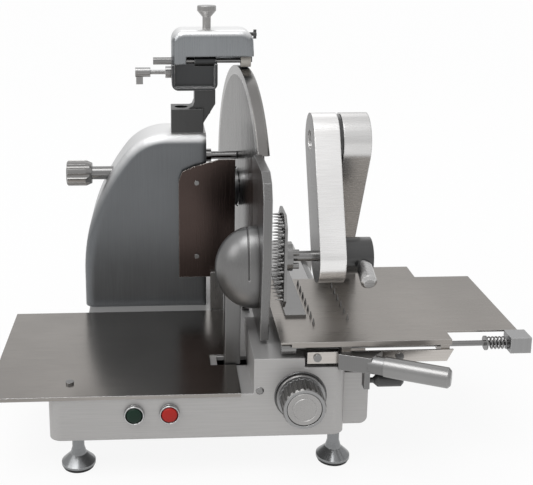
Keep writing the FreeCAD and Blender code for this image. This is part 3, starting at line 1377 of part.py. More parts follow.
def sharpener():
    post_y = "front_y + post_axis_y"
    top = "housing_top_z"
    socket_y = "front_y + socket_y"
    tower = block(("socket_left_x", socket_y, top), ("socket_width", "socket_depth", f"socket_top_z - {top}"))
    arm_left = "(post_axis_x - arm_half)"
    arm_right = "(post_axis_x + arm_half)"
    arm = panel("bracket_arm", "XZ_Plane", [
        (arm_left, "stem_top_z"), (arm_left, "socket_top_z + socket_radius"),
        (f"{arm_left} - 2.5", "socket_top_z + 3"), (f"{arm_left} - socket_radius * 0.9", "socket_top_z"),
        (arm_left, "socket_top_z - 20"), ("socket_left_x + socket_width", "socket_top_z - 20"),
        (arm_right, "socket_top_z + 6"), (arm_right, "stem_top_z"),
    ], "arm_half * 2", ("0", f"{post_y} + arm_half", "0"))
    socket = rod(("socket_left_x + socket_inset", f"{socket_y} + socket_depth / 2", "socket_top_z - 20"),
                 "socket_radius", "21", "Z")
    hole = rod(("post_axis_x", post_y, "socket_top_z - 10"), "sharpener_post_radius + fit_gap",
               "stem_top_z - socket_top_z + 20", "Z")
    piece(cut(fuse([tower, arm]), [socket, hole]), "sharpener_bracket")
    box_top = "(cover_bottom_z - running_gap)"
    seat_z = "(lower_box_bottom_z - running_gap)"
    pin_height = "(cover_bottom_z - lower_box_bottom_z) / 2"
    piece(fuse([rod(("post_axis_x", post_y, "socket_top_z - 9"), "sharpener_post_radius",
                    f"{seat_z} - socket_top_z + 9", "Z"),
                rod(("post_axis_x", post_y, seat_z), "post_pin_radius", pin_height, "Z")]), "sharpener_post")
    pin_hole = rod(("post_axis_x", post_y, "lower_box_bottom_z - 1"), "post_pin_radius + fit_gap",
                   f"{pin_height} + 1.5", "Z")
    lower = block(("sharpener_left_x", "front_y + sharpener_front + 2", "lower_box_bottom_z"),
                  ("lower_box_width", "sharpener_depth - 4", f"{box_top} - lower_box_bottom_z"))
    lower = fillet(lower, size("lower_box_round"), low_corner)
    pocket = block(("sharpener_left_x + lower_box_wall", "front_y + sharpener_front",
                    "lower_box_bottom_z + lower_box_wall"),
                   ("lower_box_width - 2 * lower_box_wall", "pocket_depth", f"{box_top} - lower_box_bottom_z"))
    sleeve_x = "(sharpener_left_x + lower_box_width * 0.5)"
    web = block((f"{sleeve_x} + 6", f"{STONE_Y} - web_depth / 2", f"{box_top} - 1"),
                ("web_width", "web_depth", f"{STONE_Z} - {box_top}"))
    sleeve = rod((sleeve_x, STONE_Y, STONE_Z), "sleeve_radius", "sleeve_length", "X")
    bore = rod(("sharpener_left_x - 1", STONE_Y, STONE_Z),
               "spindle_radius + fit_gap", "cover_width", "X")
    peg_relief = rod(("sharpener_left_x - 1", STONE_Y, STONE_Z),
                     "peg_radius + running_gap", "peg_inner + 10", "X")
    wing_hole = rod(("sharpener_left_x - 1", MID_Y, "wing_z"),
                    "wing_shank + fit_gap", "wing_seat + 1.5", "X")
    frame = fuse([cut(lower, [pocket]), web, sleeve])
    piece(cut(frame, [bore, peg_relief, pin_hole, wing_hole]), "sharpener_frame")
    width, depth = "cover_width", "sharpener_depth"
    shell = block(("sharpener_left_x", "front_y + sharpener_front", "cover_bottom_z"),
                  (width, depth, "cover_top_z - cover_bottom_z"))
    high = size("cover_top_z") - 0.01
    shell = fillet(shell, size("cover_round"), lambda edge: edge.BoundBox.ZMin > high
                   and edge.BoundBox.YMax - edge.BoundBox.YMin > 1)
    hollow = block(("sharpener_left_x + cover_wall", "front_y + sharpener_front + cover_wall",
                    "cover_bottom_z - 1"),
                   (f"{width} - 2 * cover_wall", f"{depth} - 2 * cover_wall",
                    "cover_top_z - cover_bottom_z - cover_round * 0.6"))
    window = block(("sharpener_left_x + window_inset", "front_y + sharpener_front - 1", "cover_bottom_z - 1"),
                   (width, "cover_wall + 2", "window_height + 1"))
    peg_hole = rod(("sharpener_left_x - 1", STONE_Y, STONE_Z),
                   "peg_radius + running_gap", "cover_wall + 2", "X")
    screw_hole = rod((f"{COVER_RIGHT} - cover_wall - 1", MID_Y,
                      COVER_SCREW_Z), "screw_radius", "cover_wall + 2", "X")
    gate_top = f"{STONE_Z} + stone_radius + gate_play + 1"
    stone_gate = block((f"{COVER_RIGHT} - cover_wall - 1", f"{STONE_Y} - stone_radius - gate_play",
                        "cover_bottom_z - 1"),
                       ("cover_wall + 2", "2 * (stone_radius + gate_play)", f"{gate_top} - cover_bottom_z"))
    piece(cut(shell, [hollow, window, peg_hole, screw_hole, stone_gate]), "sharpener_cover")
    turned("sharpener_top_knob", [
        ("0", "0"), ("top_knob_neck", "0"), ("top_knob_neck", "top_knob_height * 0.5"),
        ("top_knob_radius", "top_knob_height - 7"), ("top_knob_radius", "top_knob_height - 1"),
        ("top_knob_radius - 1", "top_knob_height"), ("0", "top_knob_height"),
    ], ("top_knob_x", MID_Y, "cover_top_z"))
    stones_and_knobs()


def low_corner(edge):
    """An edge along Y under the sharpener's box."""
    box = edge.BoundBox
    return box.YMax - box.YMin > 1 and box.ZMax < size("lower_box_bottom_z") + 1


def stones_and_knobs():
    y = STONE_Y
    left = "sharpener_left_x"
    stone_x = f"({COVER_RIGHT} - cover_wall - running_gap - stone_width)"
    piece(cut(rod((stone_x, y, STONE_Z), "stone_radius", "stone_width", "X"),
              [rod((f"{stone_x} - 1", y, STONE_Z), "spindle_radius + fit_gap", "stone_width - 2", "X")]),
          "grinding_stone")
    rod_start = f"({left} - peg_reach)"
    spindle_end = f"({stone_x} + stone_width - 4)"
    piece(fuse([rod((rod_start, y, STONE_Z), "peg_radius", "peg_reach + peg_inner", "X"),
                rod((rod_start, y, STONE_Z), "spindle_radius", f"{spindle_end} - {rod_start}", "X")]),
          "stone_spindle")
    wing_x = f"({left} - wing_reach)"
    y = MID_Y
    hub = rod((wing_x, y, "wing_z"), "wing_radius", "wing_hub", "X")
    wing = block((f"{wing_x} + 1", f"{y} - wing_sheet / 2", "wing_z - wing_height"),
                 ("wing_width", "wing_sheet", "wing_height"))
    shank = rod((f"{wing_x} + wing_hub - 1", y, "wing_z"), "wing_shank",
                "wing_reach - wing_hub + 1 + wing_seat", "X")
    collar = rod((f"{left} - wing_seat", y, "wing_z"), "wing_radius + wing_collar",
                 "wing_seat - running_gap", "X")
    piece(fuse([hub, wing, shank, collar]), "wing_screw")
    x, z = COVER_RIGHT, COVER_SCREW_Z
    piece(fuse([rod((f"{x} - cover_wall", y, z), "screw_radius - fit_gap",
                    "cover_wall + cover_knob / 3", "X"),
                block((f"{x} + cover_knob / 6", f"{y} - cover_knob / 2", f"{z} - cover_knob / 6"),
                      ("cover_knob / 3", "cover_knob", "cover_knob / 3")),
                block((f"{x} + cover_knob / 6", f"{y} - cover_knob / 6", f"{z} - cover_knob / 2"),
                      ("cover_knob / 3", "cover_knob / 3", "cover_knob"))]), "cover_screw")


def cable_gland():
    x, z = "gland_x", "gland_z"
    turned("cable_gland", [
        ("4", "0"), ("gland_radius", "0"), ("gland_radius", "5"), ("gland_radius * 0.75", "7"),
        ("gland_radius * 0.6", "gland_length"), ("4", "gland_length"),
    ], (x, REAR_Y, z), "Y")


def main():
    base_casing()
    underside_plate()
    feet()
    switches()
    tray_screw = receiving_tray()
    knob()
    gauge()
    drive_housing()
    blade_and_shaft()
    motor()
    drive_belt()
    ring_guard()
    slice_deflector(tray_screw)
    tie_rod_and_stay()
    carriage()
    carriage_handle()
    food_table()
    holding_arm()
    food_clamp()
    sharpener()
    cable_gland()
    finish()


def finish():
    document.recompute()
    for item in document.Objects:
        if "Invalid" in item.State or "Error" in item.State:
            raise RuntimeError(f"{item.Name} ({item.Label}) did not build")
    os.makedirs("parts", exist_ok=True)
    for item in nodes:
        shape = item.Shape
        if shape.isNull() or not shape.isValid():
            raise RuntimeError(f"{item.Label} has no valid shape")
        shape.exportStep(f"parts/{item.Label}.step")
        print(f"{item.Label}: {len(shape.Solids)} solids, {shape.Volume:.0f} mm3")
    print(len(nodes), "nodes")


main()
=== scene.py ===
"""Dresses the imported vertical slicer, and adds its fine trim, a studio and a camera.

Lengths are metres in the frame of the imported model: X runs along the slicer, Y away from the operator, Z up.
"""
import json
import math
import bmesh
import bpy
from mathutils import Matrix, Vector


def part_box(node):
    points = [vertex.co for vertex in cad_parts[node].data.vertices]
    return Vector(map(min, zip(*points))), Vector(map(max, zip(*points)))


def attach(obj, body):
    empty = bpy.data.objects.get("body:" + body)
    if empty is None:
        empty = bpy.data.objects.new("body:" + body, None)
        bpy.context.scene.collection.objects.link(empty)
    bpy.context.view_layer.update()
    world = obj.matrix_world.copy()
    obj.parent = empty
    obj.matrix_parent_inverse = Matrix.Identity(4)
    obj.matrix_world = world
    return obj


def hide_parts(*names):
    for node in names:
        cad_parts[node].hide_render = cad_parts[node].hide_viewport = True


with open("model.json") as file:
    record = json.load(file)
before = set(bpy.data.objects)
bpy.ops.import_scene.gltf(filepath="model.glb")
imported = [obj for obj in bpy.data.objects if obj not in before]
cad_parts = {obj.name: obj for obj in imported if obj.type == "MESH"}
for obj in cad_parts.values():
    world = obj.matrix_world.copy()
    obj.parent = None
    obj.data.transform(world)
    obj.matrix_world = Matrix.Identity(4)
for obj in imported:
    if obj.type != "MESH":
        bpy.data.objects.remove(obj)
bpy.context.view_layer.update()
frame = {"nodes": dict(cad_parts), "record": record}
scene = bpy.context.scene

# ---------------------------------------------------------------- camera
PICTURE_WIDTH = 533             # pixels
SENSOR = 36.0                   # millimetres
FOCAL_PIXELS = 887.5            # the focal length, in pixels of the picture
NEAR_CLIP = 0.01
CAMERA_PLACE = (-0.105, -1.0868, 0.5888)
CAMERA_PITCH = 12.5             # degrees downwards
CAMERA_YAW = 2.675              # degrees to the right
CAMERA_SHIFT = (0.121, -0.194)  # shares of the picture's width


def add_camera():
    """A camera at the height, distance and turn of a person standing before the slicer."""
    data = bpy.data.cameras.new("camera")
    data.sensor_width = SENSOR
    data.lens = FOCAL_PIXELS * SENSOR / PICTURE_WIDTH
    data.shift_x, data.shift_y = CAMERA_SHIFT
    data.clip_start = NEAR_CLIP
    camera = bpy.data.objects.new("camera", data)
    camera.location = CAMERA_PLACE
    camera.rotation_euler = (math.radians(90 - CAMERA_PITCH), 0, -math.radians(CAMERA_YAW))
    scene.collection.objects.link(camera)
    scene.camera = camera


# ---------------------------------------------------------------- node trees
WHITE = (1.0, 1.0, 1.0, 1)
EVEN = (1, 1, 1)                # a noise that isn't drawn out
ALONG_X = (0.02, 1, 1)          # a noise drawn out to lines along X
ALONG_Z = (1, 1, 0.02)          # a noise drawn out to lines along Z
NOISE_MIDDLE = (0.3, 0.7)       # nearly all of a noise lies between these
EDGE_SAMPLES = 4
EDGE_MASK = (0.80, 0.995)       # cosine from the flat to the rounded normal, at a full edge and at none


def node(tree, kind, inputs=None, **settings):
    """A node of a kind with its constant inputs and settings."""
    made = tree.nodes.new(kind)
    for name, value in settings.items():
        setattr(made, name, value)
    for name, value in (inputs or {}).items():
        made.inputs[name].default_value = value
    return made


def feed(tree, socket, value):
    """Gives a socket a constant, or links another socket to it."""
    if isinstance(value, bpy.types.NodeSocket):
        tree.links.new(value, socket)
    else:
        socket.default_value = value


def set_stops(ramp, stops):
    """Gives a colour ramp its stops."""
    elements = ramp.color_ramp.elements
    while len(elements) > 1:
        elements.remove(elements[-1])
    elements[0].position, elements[0].color = stops[0]
    for place, colour in stops[1:]:
        elements.new(place).color = colour


def new_material(name):
    """A material, its tree and its shader."""
    material = bpy.data.materials.new(name)
    material.use_nodes = True
    tree = material.node_tree
    return material, tree, tree.nodes["Principled BSDF"]


def noise(tree, scale, stretch=EVEN, detail=3.0):
    """The 0 to 1 value of a noise over the object, drawn out along the axes where stretch is small."""
    coordinates = node(tree, "ShaderNodeTexCoord")
    mapping = node(tree, "ShaderNodeMapping", {"Scale": stretch})
    texture = node(tree, "ShaderNodeTexNoise", {"Scale": scale, "Detail": detail})
    tree.links.new(coordinates.outputs["Object"], mapping.inputs["Vector"])
    tree.links.new(mapping.outputs[0], texture.inputs["Vector"])
    return texture.outputs[0]


def spread(tree, value, low, high, limits=NOISE_MIDDLE):
    """Maps a value between two limits to low ... high, and holds it there beyond them."""
    ends = {"From Min": limits[0], "From Max": limits[1], "To Min": low, "To Max": high}
    ranged = node(tree, "ShaderNodeMapRange", ends)
    tree.links.new(value, ranged.inputs["Value"])
    return ranged.outputs[0]


def mixed(tree, factor, first, second, blend="MIX"):
    """A colour made from two others: each, and the factor, is a constant or a socket."""
    mix = node(tree, "ShaderNodeMix", data_type="RGBA", blend_type=blend)
    feed(tree, mix.inputs[0], factor)
    colours = [socket for socket in mix.inputs if socket.type == "RGBA"]
    feed(tree, colours[0], first)
    feed(tree, colours[1], second)
    return [socket for socket in mix.outputs if socket.type == "RGBA"][0]


def grey(tone, warmth=0.0):
    """A grey, warmer (redder) or cooler (bluer) by a share of its tone."""
    return (tone * (1 + warmth), tone, tone * (1 - warmth), 1)


def rounded_edges(tree, radius):
    """The surface normal with its sharp edges rounded by a radius, and a mask of those edges."""
    bevel = node(tree, "ShaderNodeBevel", {"Radius": radius}, samples=EDGE_SAMPLES)
    geometry = node(tree, "ShaderNodeNewGeometry")
    dot = node(tree, "ShaderNodeVectorMath", operation="DOT_PRODUCT")
    tree.links.new(bevel.outputs[0], dot.inputs[0])
    tree.links.new(geometry.outputs["Normal"], dot.inputs[1])
    return bevel.outputs[0], spread(tree, dot.outputs["Value"], 1.0, 0.0, EDGE_MASK)


def part_along(tree, vector, letter):
    """The part of a vector along an axis."""
    axes = node(tree, "ShaderNodeSeparateXYZ")
    tree.links.new(vector, axes.inputs[0])
    return axes.outputs[letter]


def facing(tree, letter):
    """The part of the surface normal along an axis."""
    return part_along(tree, node(tree, "ShaderNodeNewGeometry").outputs["Normal"], letter)


def object_height(tree):
    """The height above the floor, in metres."""
    return part_along(tree, node(tree, "ShaderNodeTexCoord").outputs["Object"], "Z")


# ---------------------------------------------------------------- studio
FLOOR_HALF = 12.0
FLOOR_TONE = (0.86, 0.86, 0.86, 1)
FLOOR_ROUGHNESS = 0.9
FLOOR_GLOW = 0.90               # share of plain white in the floor that the camera and reflections see
FLOOR_SIDES = ((-1, -1), (1, -1), (1, 1), (-1, 1))
SKY_STOPS = ((0.0, 0.34), (0.5, 0.40), (0.62, 0.56), (0.80, 0.74), (1.0, 0.80))
SKY_BLUE = 1.01                 # the sky's blue, as a multiple of its red and green
REFLECTED_WHITE = 0.55          # share of plain white in the room that reflections see
LAMP_AIM = (0, 0, 0.2)
LAMPS = (                       # name, kind, energy, place, and the sun's angle or the square's side
    ("ceiling_lamp", "SUN", 1.0, (-0.6, -0.8, 2.4), math.radians(35)),
    ("left_lamp", "AREA", 9.0, (-2.0, -0.9, 1.5), 1.2),
    ("back_lamp", "AREA", 2.0, (0.1, 1.7, 1.8), 1.2),
)


def seen_white(tree, reflected):
    """A factor that is 1 where the camera looks and a share of it where reflections look."""
    path = node(tree, "ShaderNodeLightPath")
    share = node(tree, "ShaderNodeMath", {1: reflected}, operation="MULTIPLY")
    tree.links.new(path.outputs["Is Glossy Ray"], share.inputs[0])
    both = node(tree, "ShaderNodeMath", operation="MAXIMUM")
    tree.links.new(path.outputs["Is Camera Ray"], both.inputs[0])
    tree.links.new(share.outputs[0], both.inputs[1])
    return both.outputs[0]


def add_floor():
    """A pale floor that reaches past every view."""
    mesh = bpy.data.meshes.new("floor")
    corners = [(x * FLOOR_HALF, y * FLOOR_HALF, 0) for x, y in FLOOR_SIDES]
    mesh.from_pydata(corners, [], [(0, 1, 2, 3)])
    floor = bpy.data.objects.new("floor", mesh)
    scene.collection.objects.link(floor)
    material, tree, shader = new_material("floor_paper")
    shader.inputs["Base Color"].default_value = FLOOR_TONE
    shader.inputs["Roughness"].default_value = FLOOR_ROUGHNESS
    shader.inputs["Specular IOR Level"].default_value = 0.0
    glow = node(tree, "ShaderNodeEmission", {"Color": WHITE, "Strength": 1.0})
    part = node(tree, "ShaderNodeMath", {1: FLOOR_GLOW}, operation="MULTIPLY")
    tree.links.new(seen_white(tree, 1.0), part.inputs[0])
    blend = node(tree, "ShaderNodeMixShader")
    tree.links.new(part.outputs[0], blend.inputs[0])
    tree.links.new(shader.outputs[0], blend.inputs[1])
    tree.links.new(glow.outputs[0], blend.inputs[2])
    tree.links.new(blend.outputs[0], tree.nodes["Material Output"].inputs["Surface"])
    mesh.materials.append(material)


def add_sky():
    """A pale studio room: darkest below the horizon, brightest overhead, and white behind the slicer."""
    world = bpy.data.worlds.new("studio")
    scene.world = world
    world.use_nodes = True
    tree = world.node_tree
    background = tree.nodes["Background"]
    direction = node(tree, "ShaderNodeTexCoord").outputs["Generated"]
    height = spread(tree, part_along(tree, direction, "Z"), 0.0, 1.0, (-1.0, 1.0))
    ramp = node(tree, "ShaderNodeValToRGB")
    set_stops(ramp, [(place, (tone, tone, tone * SKY_BLUE, 1)) for place, tone in SKY_STOPS])
    tree.links.new(height, ramp.inputs[0])
    colour = mixed(tree, seen_white(tree, REFLECTED_WHITE), ramp.outputs[0], WHITE)
    tree.links.new(colour, background.inputs["Color"])
    background.inputs["Strength"].default_value = 1.0


def add_lamp(name, kind, energy, place, size):
    """A lamp of that kind, place and size, turned towards the slicer's middle."""
    data = bpy.data.lights.new(name, kind)
    data.energy = energy
    if kind == "SUN":
        data.angle = size
    else:
        data.shape = "SQUARE"
        data.size = size
    lamp = bpy.data.objects.new(name, data)
    lamp.location = place
    lamp.rotation_euler = (Vector(LAMP_AIM) - Vector(place)).to_track_quat("-Z", "Y").to_euler()
    scene.collection.objects.link(lamp)


def add_studio():
    """Floor, sky and three soft lamps."""
    add_floor()
    add_sky()
    for lamp in LAMPS:
        add_lamp(*lamp)
    scene.view_settings.view_transform = "Standard"


# ---------------------------------------------------------------- finishes
FINE_GRAIN = 1100.0             # noise cells in a metre: brush lines a little under a millimetre apart
EVEN_GRAIN = (FINE_GRAIN, EVEN)
LINES_ALONG_X = (FINE_GRAIN, ALONG_X)
LINES_ALONG_Z = (FINE_GRAIN, ALONG_Z)
HAIR_LINES = (2 * FINE_GRAIN, ALONG_X)
GRAIN_DETAIL = 5.0
GRAIN_TINTS = (grey(0.93), grey(1.05))  # what the grain's low and high parts multiply the colour by
GRAIN_DEPTH = 0.0004
GLOSS_CHANGE = 0.15             # share by which the grain changes the roughness
SIDE_FACING = (0.50, 0.95)      # the normal's part along X where the painted side shade starts, and is full
FRONT_FACING = (-0.99, -0.90)   # the normal's part along Y where the front colour is full, and ends
UPPER_FACING = (0.15, 0.95)     # the normal's part along Z where the painted top highlight starts, and is full
# height of the band at a part's bottom that takes its own, darker colour
SOLE_HEIGHT = 0.0035
SOLE_FADE = 1.1                 # the bottom band's colour ends at this multiple of its height
SATIN_CLOUD = 0.08              # share by which a satin metal's tone clouds
SATIN_WEAR = 2.2                # the painted highlight on a satin metal's corners, as a multiple of its tone
PLASTIC_CLOUD = 0.15            # share by which a plastic's tone clouds


def finish(name, dark, light, roughness, metallic=1.0, grain=EVEN_GRAIN, edge=0.0005, cloud=9.0, bump=0.02,
           worn=None, coat=0.0, gloss=0.5, upper=None, side=None, front=None, sole=None):
    """A surface with cloudy colour, a grain in its roughness and height, rounded edges and a painted highlight
    on its corners.

    grain is (scale, stretch): a stretch that is small along one axis draws brush lines along that axis.
    The optional colours are a painted highlight on the corners, a painted highlight on what faces the ceiling,
    painted shade on what faces left or right, the colour of what faces the operator, and a darker band on the
    lowest few millimetres.
    """
    material, tree, shader = new_material(name)
    scale, stretch = grain
    colour = mixed(tree, spread(tree, noise(tree, cloud), 0.0, 1.0), dark, light)
    fine = noise(tree, scale, stretch, detail=GRAIN_DETAIL)
    lines = mixed(tree, spread(tree, fine, 0.0, 1.0), *GRAIN_TINTS)
    colour = mixed(tree, 1.0, colour, lines, blend="MULTIPLY")
    normal, corners = rounded_edges(tree, edge)
    # painted shade: what faces left or right takes a darker colour
    if side:
        across = node(tree, "ShaderNodeMath", operation="ABSOLUTE")
        tree.links.new(facing(tree, "X"), across.inputs[0])
        colour = mixed(tree, spread(tree, across.outputs[0], 0.0, 1.0, SIDE_FACING), colour, side)
    if front:
        colour = mixed(tree, spread(tree, facing(tree, "Y"), 1.0, 0.0, FRONT_FACING), colour, front)
    # painted highlight: what faces the ceiling takes a lighter colour
    if upper:
        colour = mixed(tree, spread(tree, facing(tree, "Z"), 0.0, 1.0, UPPER_FACING), colour, upper)
    # painted highlight: the rounded corners take a lighter colour
    if worn:
        colour = mixed(tree, corners, colour, worn)
    # the lowest few millimetres take their own, darker colour
    if sole:
        low = spread(tree, object_height(tree), 1.0, 0.0, (SOLE_HEIGHT, SOLE_HEIGHT * SOLE_FADE))
        colour = mixed(tree, low, colour, sole)
    rough = spread(tree, fine, roughness * (1 - GLOSS_CHANGE), roughness * (1 + GLOSS_CHANGE))
    tree.links.new(colour, shader.inputs["Base Color"])
    tree.links.new(rough, shader.inputs["Roughness"])
    shader.inputs["Metallic"].default_value = metallic
    shader.inputs["Coat Weight"].default_value = coat
    shader.inputs["Specular IOR Level"].default_value = gloss
    height = node(tree, "ShaderNodeBump", {"Strength": bump, "Distance": GRAIN_DEPTH})
    tree.links.new(fine, height.inputs["Height"])
    tree.links.new(normal, height.inputs["Normal"])
    tree.links.new(height.outputs[0], shader.inputs["Normal"])
    return material


def clouded(tone, warmth, share):
    """The dark and the light grey of a clouded surface of about one tone."""
    return grey(tone * (1 - share), warmth), grey(tone * (1 + share), warmth)


def satin(name, tone, warmth, roughness, **options):
    """A brushed metal finish of about one tone."""
    # by default the corners take a painted highlight, lighter than the metal's tone
    settings = {"grain": LINES_ALONG_Z, "edge": 0.0010, "bump": 0.03,
                "worn": grey(min(1.0, tone * SATIN_WEAR), warmth)}
    settings.update(options)
    return finish(name, *clouded(tone, warmth, SATIN_CLOUD), roughness, **settings)


def plastic(name, tone, roughness, **options):
    """A moulded plastic of about one tone."""
    return finish(name, *clouded(tone, 0.0, PLASTIC_CLOUD), roughness, 0.0, edge=0.0006, bump=0.04, **options)


def casting_finishes():
    """The painted base, the castings and the sharpener's boxes."""
    # the colours for what faces up in this list are painted highlights on the top
    return [
        # the corner colours in this list are painted highlights
        finish("cast_paint", grey(0.38, 0.02), grey(0.42, 0.02), 0.42, 0.6, grain=LINES_ALONG_X, cloud=3.0,
               edge=0.0020, worn=grey(0.50, 0.01), upper=grey(0.44, 0.01)),
        satin("polished_casting", 0.16, -0.04, 0.34, edge=0.010, worn=None, upper=grey(0.90)),
        satin("guard_casting", 0.20, 0.03, 0.22, edge=0.002),
        satin("gauge_casting", 0.19, 0.01, 0.30, edge=0.002, worn=grey(0.45)),
        satin("bulb_casting", 0.17, 0.01, 0.34, edge=0.002, upper=grey(0.22)),
        # the link's left and right faces take painted shade
        satin("link_casting", 0.84, 0.01, 0.26, grain=HAIR_LINES, edge=0.002, bump=0.008, worn=None,
              side=grey(0.18, 0.02)),
        # a darker copy of the link's finish: painted shade on the rear link
        satin("rear_link_casting", 0.66, 0.01, 0.26, grain=HAIR_LINES, edge=0.002, bump=0.008, worn=None),
        satin("satin_casting", 0.28, 0.02, 0.30, upper=grey(0.42)),
        satin("handle_casting", 0.20, 0.01, 0.34, upper=grey(0.30)),
        satin("end_casting", 0.30, 0.0, 0.34, upper=grey(0.40)),
        satin("dark_casting", 0.070, 0.0, 0.34, worn=grey(0.30)),
        satin("sharpener_casting", 0.27, -0.04, 0.30, edge=0.003, worn=None, upper=grey(0.97)),
        satin("dark_box", 0.065, -0.02, 0.36, edge=0.0015, worn=grey(0.60)),
    ]


def sheet_finishes():
    """The trays, tables and plates of brushed or coated sheet."""
    return [
        # the corner colours in this list are painted highlights
        satin("brushed_sheet", 0.29, 0.06, 0.22, grain=LINES_ALONG_X, edge=0.0004, worn=grey(0.75)),
        satin("table_sheet", 0.30, 0.07, 0.30, grain=LINES_ALONG_X, edge=0.0004, bump=0.02, worn=grey(0.80)),
        satin("front_sheet", 0.48, 0.06, 0.24, grain=LINES_ALONG_X, edge=0.0004, worn=grey(0.85)),
        satin("back_sheet", 0.060, 0.08, 0.28, edge=0.0006, worn=grey(0.60)),
        finish("dark_sheet", (0.065, 0.048, 0.043, 1), (0.085, 0.062, 0.056, 1), 0.25, grain=LINES_ALONG_Z,
               edge=0.0006, worn=(0.7, 0.66, 0.62, 1)),
    ]


def steel_finishes():
    """The turned, ground and plated steel parts."""
    return [
        # the corner colours in this list are painted highlights
        satin("turned_steel", 0.23, 0.01, 0.22, grain=LINES_ALONG_X, edge=0.0003, worn=grey(0.6)),
        satin("lever_steel", 0.50, 0.01, 0.26, grain=HAIR_LINES, edge=0.0008),
        satin("grip_steel", 0.28, 0.01, 0.34, grain=HAIR_LINES, edge=0.0006, bump=0.01, worn=grey(0.5)),
        satin("knob_steel", 0.25, 0.02, 0.24, grain=LINES_ALONG_X, edge=0.0008, worn=grey(0.7)),
        satin("dark_knob", 0.17, 0.02, 0.30, edge=0.0008, worn=grey(0.5), front=grey(0.30)),
        satin("disc_steel", 0.34, 0.02, 0.30, grain=EVEN_GRAIN, edge=0.0003, worn=grey(0.8)),
        # the feet are darker in their lowest few millimetres
        satin("foot_steel", 0.24, -0.02, 0.24, edge=0.0005, worn=grey(0.7), sole=grey(0.03)),
        finish("chrome", grey(0.36), grey(0.40), 0.12, edge=0.0012, bump=0.005, worn=grey(0.7)),
        finish("blade_face", grey(0.10, 0.03), grey(0.13, 0.03), 0.14, edge=0.0003, bump=0.004,
               worn=grey(0.7)),
    ]


def other_finishes():
    """Plastic, rubber, the push buttons' caps and the grinding stone."""
    return [
        # the corner colours in this list are painted highlights
        plastic("moulded_black", 0.026, 0.22, coat=0.5, worn=grey(0.35)),
        plastic("moulded_dark", 0.05, 0.36, worn=grey(0.20)),
        finish("green_cap", (0.004, 0.016, 0.010, 1), (0.006, 0.024, 0.014, 1), 0.35, 0.0, gloss=0.2),
        finish("red_cap", (0.34, 0.016, 0.012, 1), (0.40, 0.022, 0.016, 1), 0.35, 0.0, gloss=0.2),
        finish("plain_rubber", grey(0.02), grey(0.03), 0.7, 0.0, bump=0.1),
        finish("grit_stone", (0.45, 0.42, 0.38, 1), (0.55, 0.52, 0.47, 1), 0.9, 0.0, bump=0.5),
    ]


def make_finishes():
    """Every finish by name."""
    made = casting_finishes() + sheet_finishes() + steel_finishes() + other_finishes()
    return {material.name: material for material in made}


FINISH_OF_SLOT = {
    "casing": "cast_paint",
    "steel": "turned_steel",
    "polished_cast": "polished_casting",
    "cast_satin": "satin_casting",
    "bronze_plate": "dark_sheet",
    "dark_cast": "dark_casting",
    "chrome_rim": "chrome",
    "blade_steel": "blade_face",
    "foot_grey": "foot_steel",
    "black_plastic": "moulded_black",
    "dark_plastic": "moulded_dark",
    "green_button": "green_cap",
    "red_button": "red_cap",
    "belt_rubber": "plain_rubber",
    "stone": "grit_stone",
    "bearing_steel": "turned_steel",
}
FINISH_OF_NODE = {
    "receiving_tray": "brushed_sheet",
    "food_table": "table_sheet",
    "carriage_saddle": "table_sheet",
    "carriage_front_plate": "front_sheet",
    "ring_guard": "guard_casting",
    "blade_back_plate": "back_sheet",
    "thickness_knob": "dark_knob",
    "gauge_plate": "gauge_casting",
    "gauge_head": "bulb_casting",
    "front_link": "link_casting",
    "rear_link": "rear_link_casting",
    "sharpener_cover": "sharpener_casting",
    "sharpener_frame": "dark_box",
    "tie_rod_knob": "knob_steel",
    "clamp_lever": "lever_steel",
    "carriage_grip": "grip_steel",
    "handle_block": "handle_casting",
    "end_block": "end_casting",
}


def dress(finishes):
    """Gives every CAD node a finish: its own where it has one, and otherwise its slot's."""
    slots = {row["node"]: row["material_slot"] for row in frame["record"]["subparts"]}
    for name, piece in frame["nodes"].items():
        finish_name = FINISH_OF_NODE.get(name) or FINISH_OF_SLOT[slots[name]]
        if not piece.material_slots:
            piece.data.materials.append(None)
        for slot in piece.material_slots:
            slot.material = finishes[finish_name]


# ---------------------------------------------------------------- fine trim
# A turned piece's profile is pairs of radius and height towards the front, from its axis outwards.
TURN_STEPS = 64
WELD = 0.000005                 # corners of a turned piece nearer than this become one
KNOB_RECESS = 0.002             # depth of the recess in the knob's face
KNOB_DISC = ((0.0, 0.0021), (0.0122, 0.0021), (0.0126, 0.0017), (0.0134, 0.0017), (0.0138, 0.0021),
             (0.0182, 0.0021), (0.0189, 0.0015), (0.0190, 0.0))
# a black ring that paints the shade in the gap round the knob's flange
KNOB_SEAL = ((0.0277, 0.0016), (0.0286, 0.0016), (0.0292, 0.0009), (0.0293, 0.0))
INDEX_LEFT = 0.0453             # how far the index pin stands to the left of the knob's axis
INDEX_RISE = 0.0073             # how far it stands above that axis
INDEX_PIN = ((0.0, 0.0016), (0.0030, 0.0013), (0.0042, 0.0004), (0.0046, 0.0))
CAP_DOME = ((0.0, 0.0033), (0.0030, 0.0032), (0.0060, 0.0028), (0.0077, 0.0022), (0.0085, 0.0013),
            (0.0087, 0.0))
BEZEL_RING = ((0.0093, 0.0020), (0.0097, 0.0028), (0.0104, 0.0031), (0.0110, 0.0027), (0.0114, 0.0015),
              (0.0115, 0.0))
ELBOW_DISC = ((0.0, 0.0014), (0.0085, 0.0014), (0.0100, 0.0009), (0.0114, 0.0009), (0.0116, 0.0))
ELBOW_RECESS = 0.004            # depth of the recess round the elbow's pin


def middle(name):
    """The middle of a node's box."""
    low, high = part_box(name)
    return (Vector(low) + Vector(high)) / 2


def linked(name, body):
    """A scene object made from a finished bmesh."""
    mesh = bpy.data.meshes.new(name)
    body.to_mesh(mesh)
    body.free()
    made = bpy.data.objects.new(name, mesh)
    scene.collection.objects.link(made)
    return made


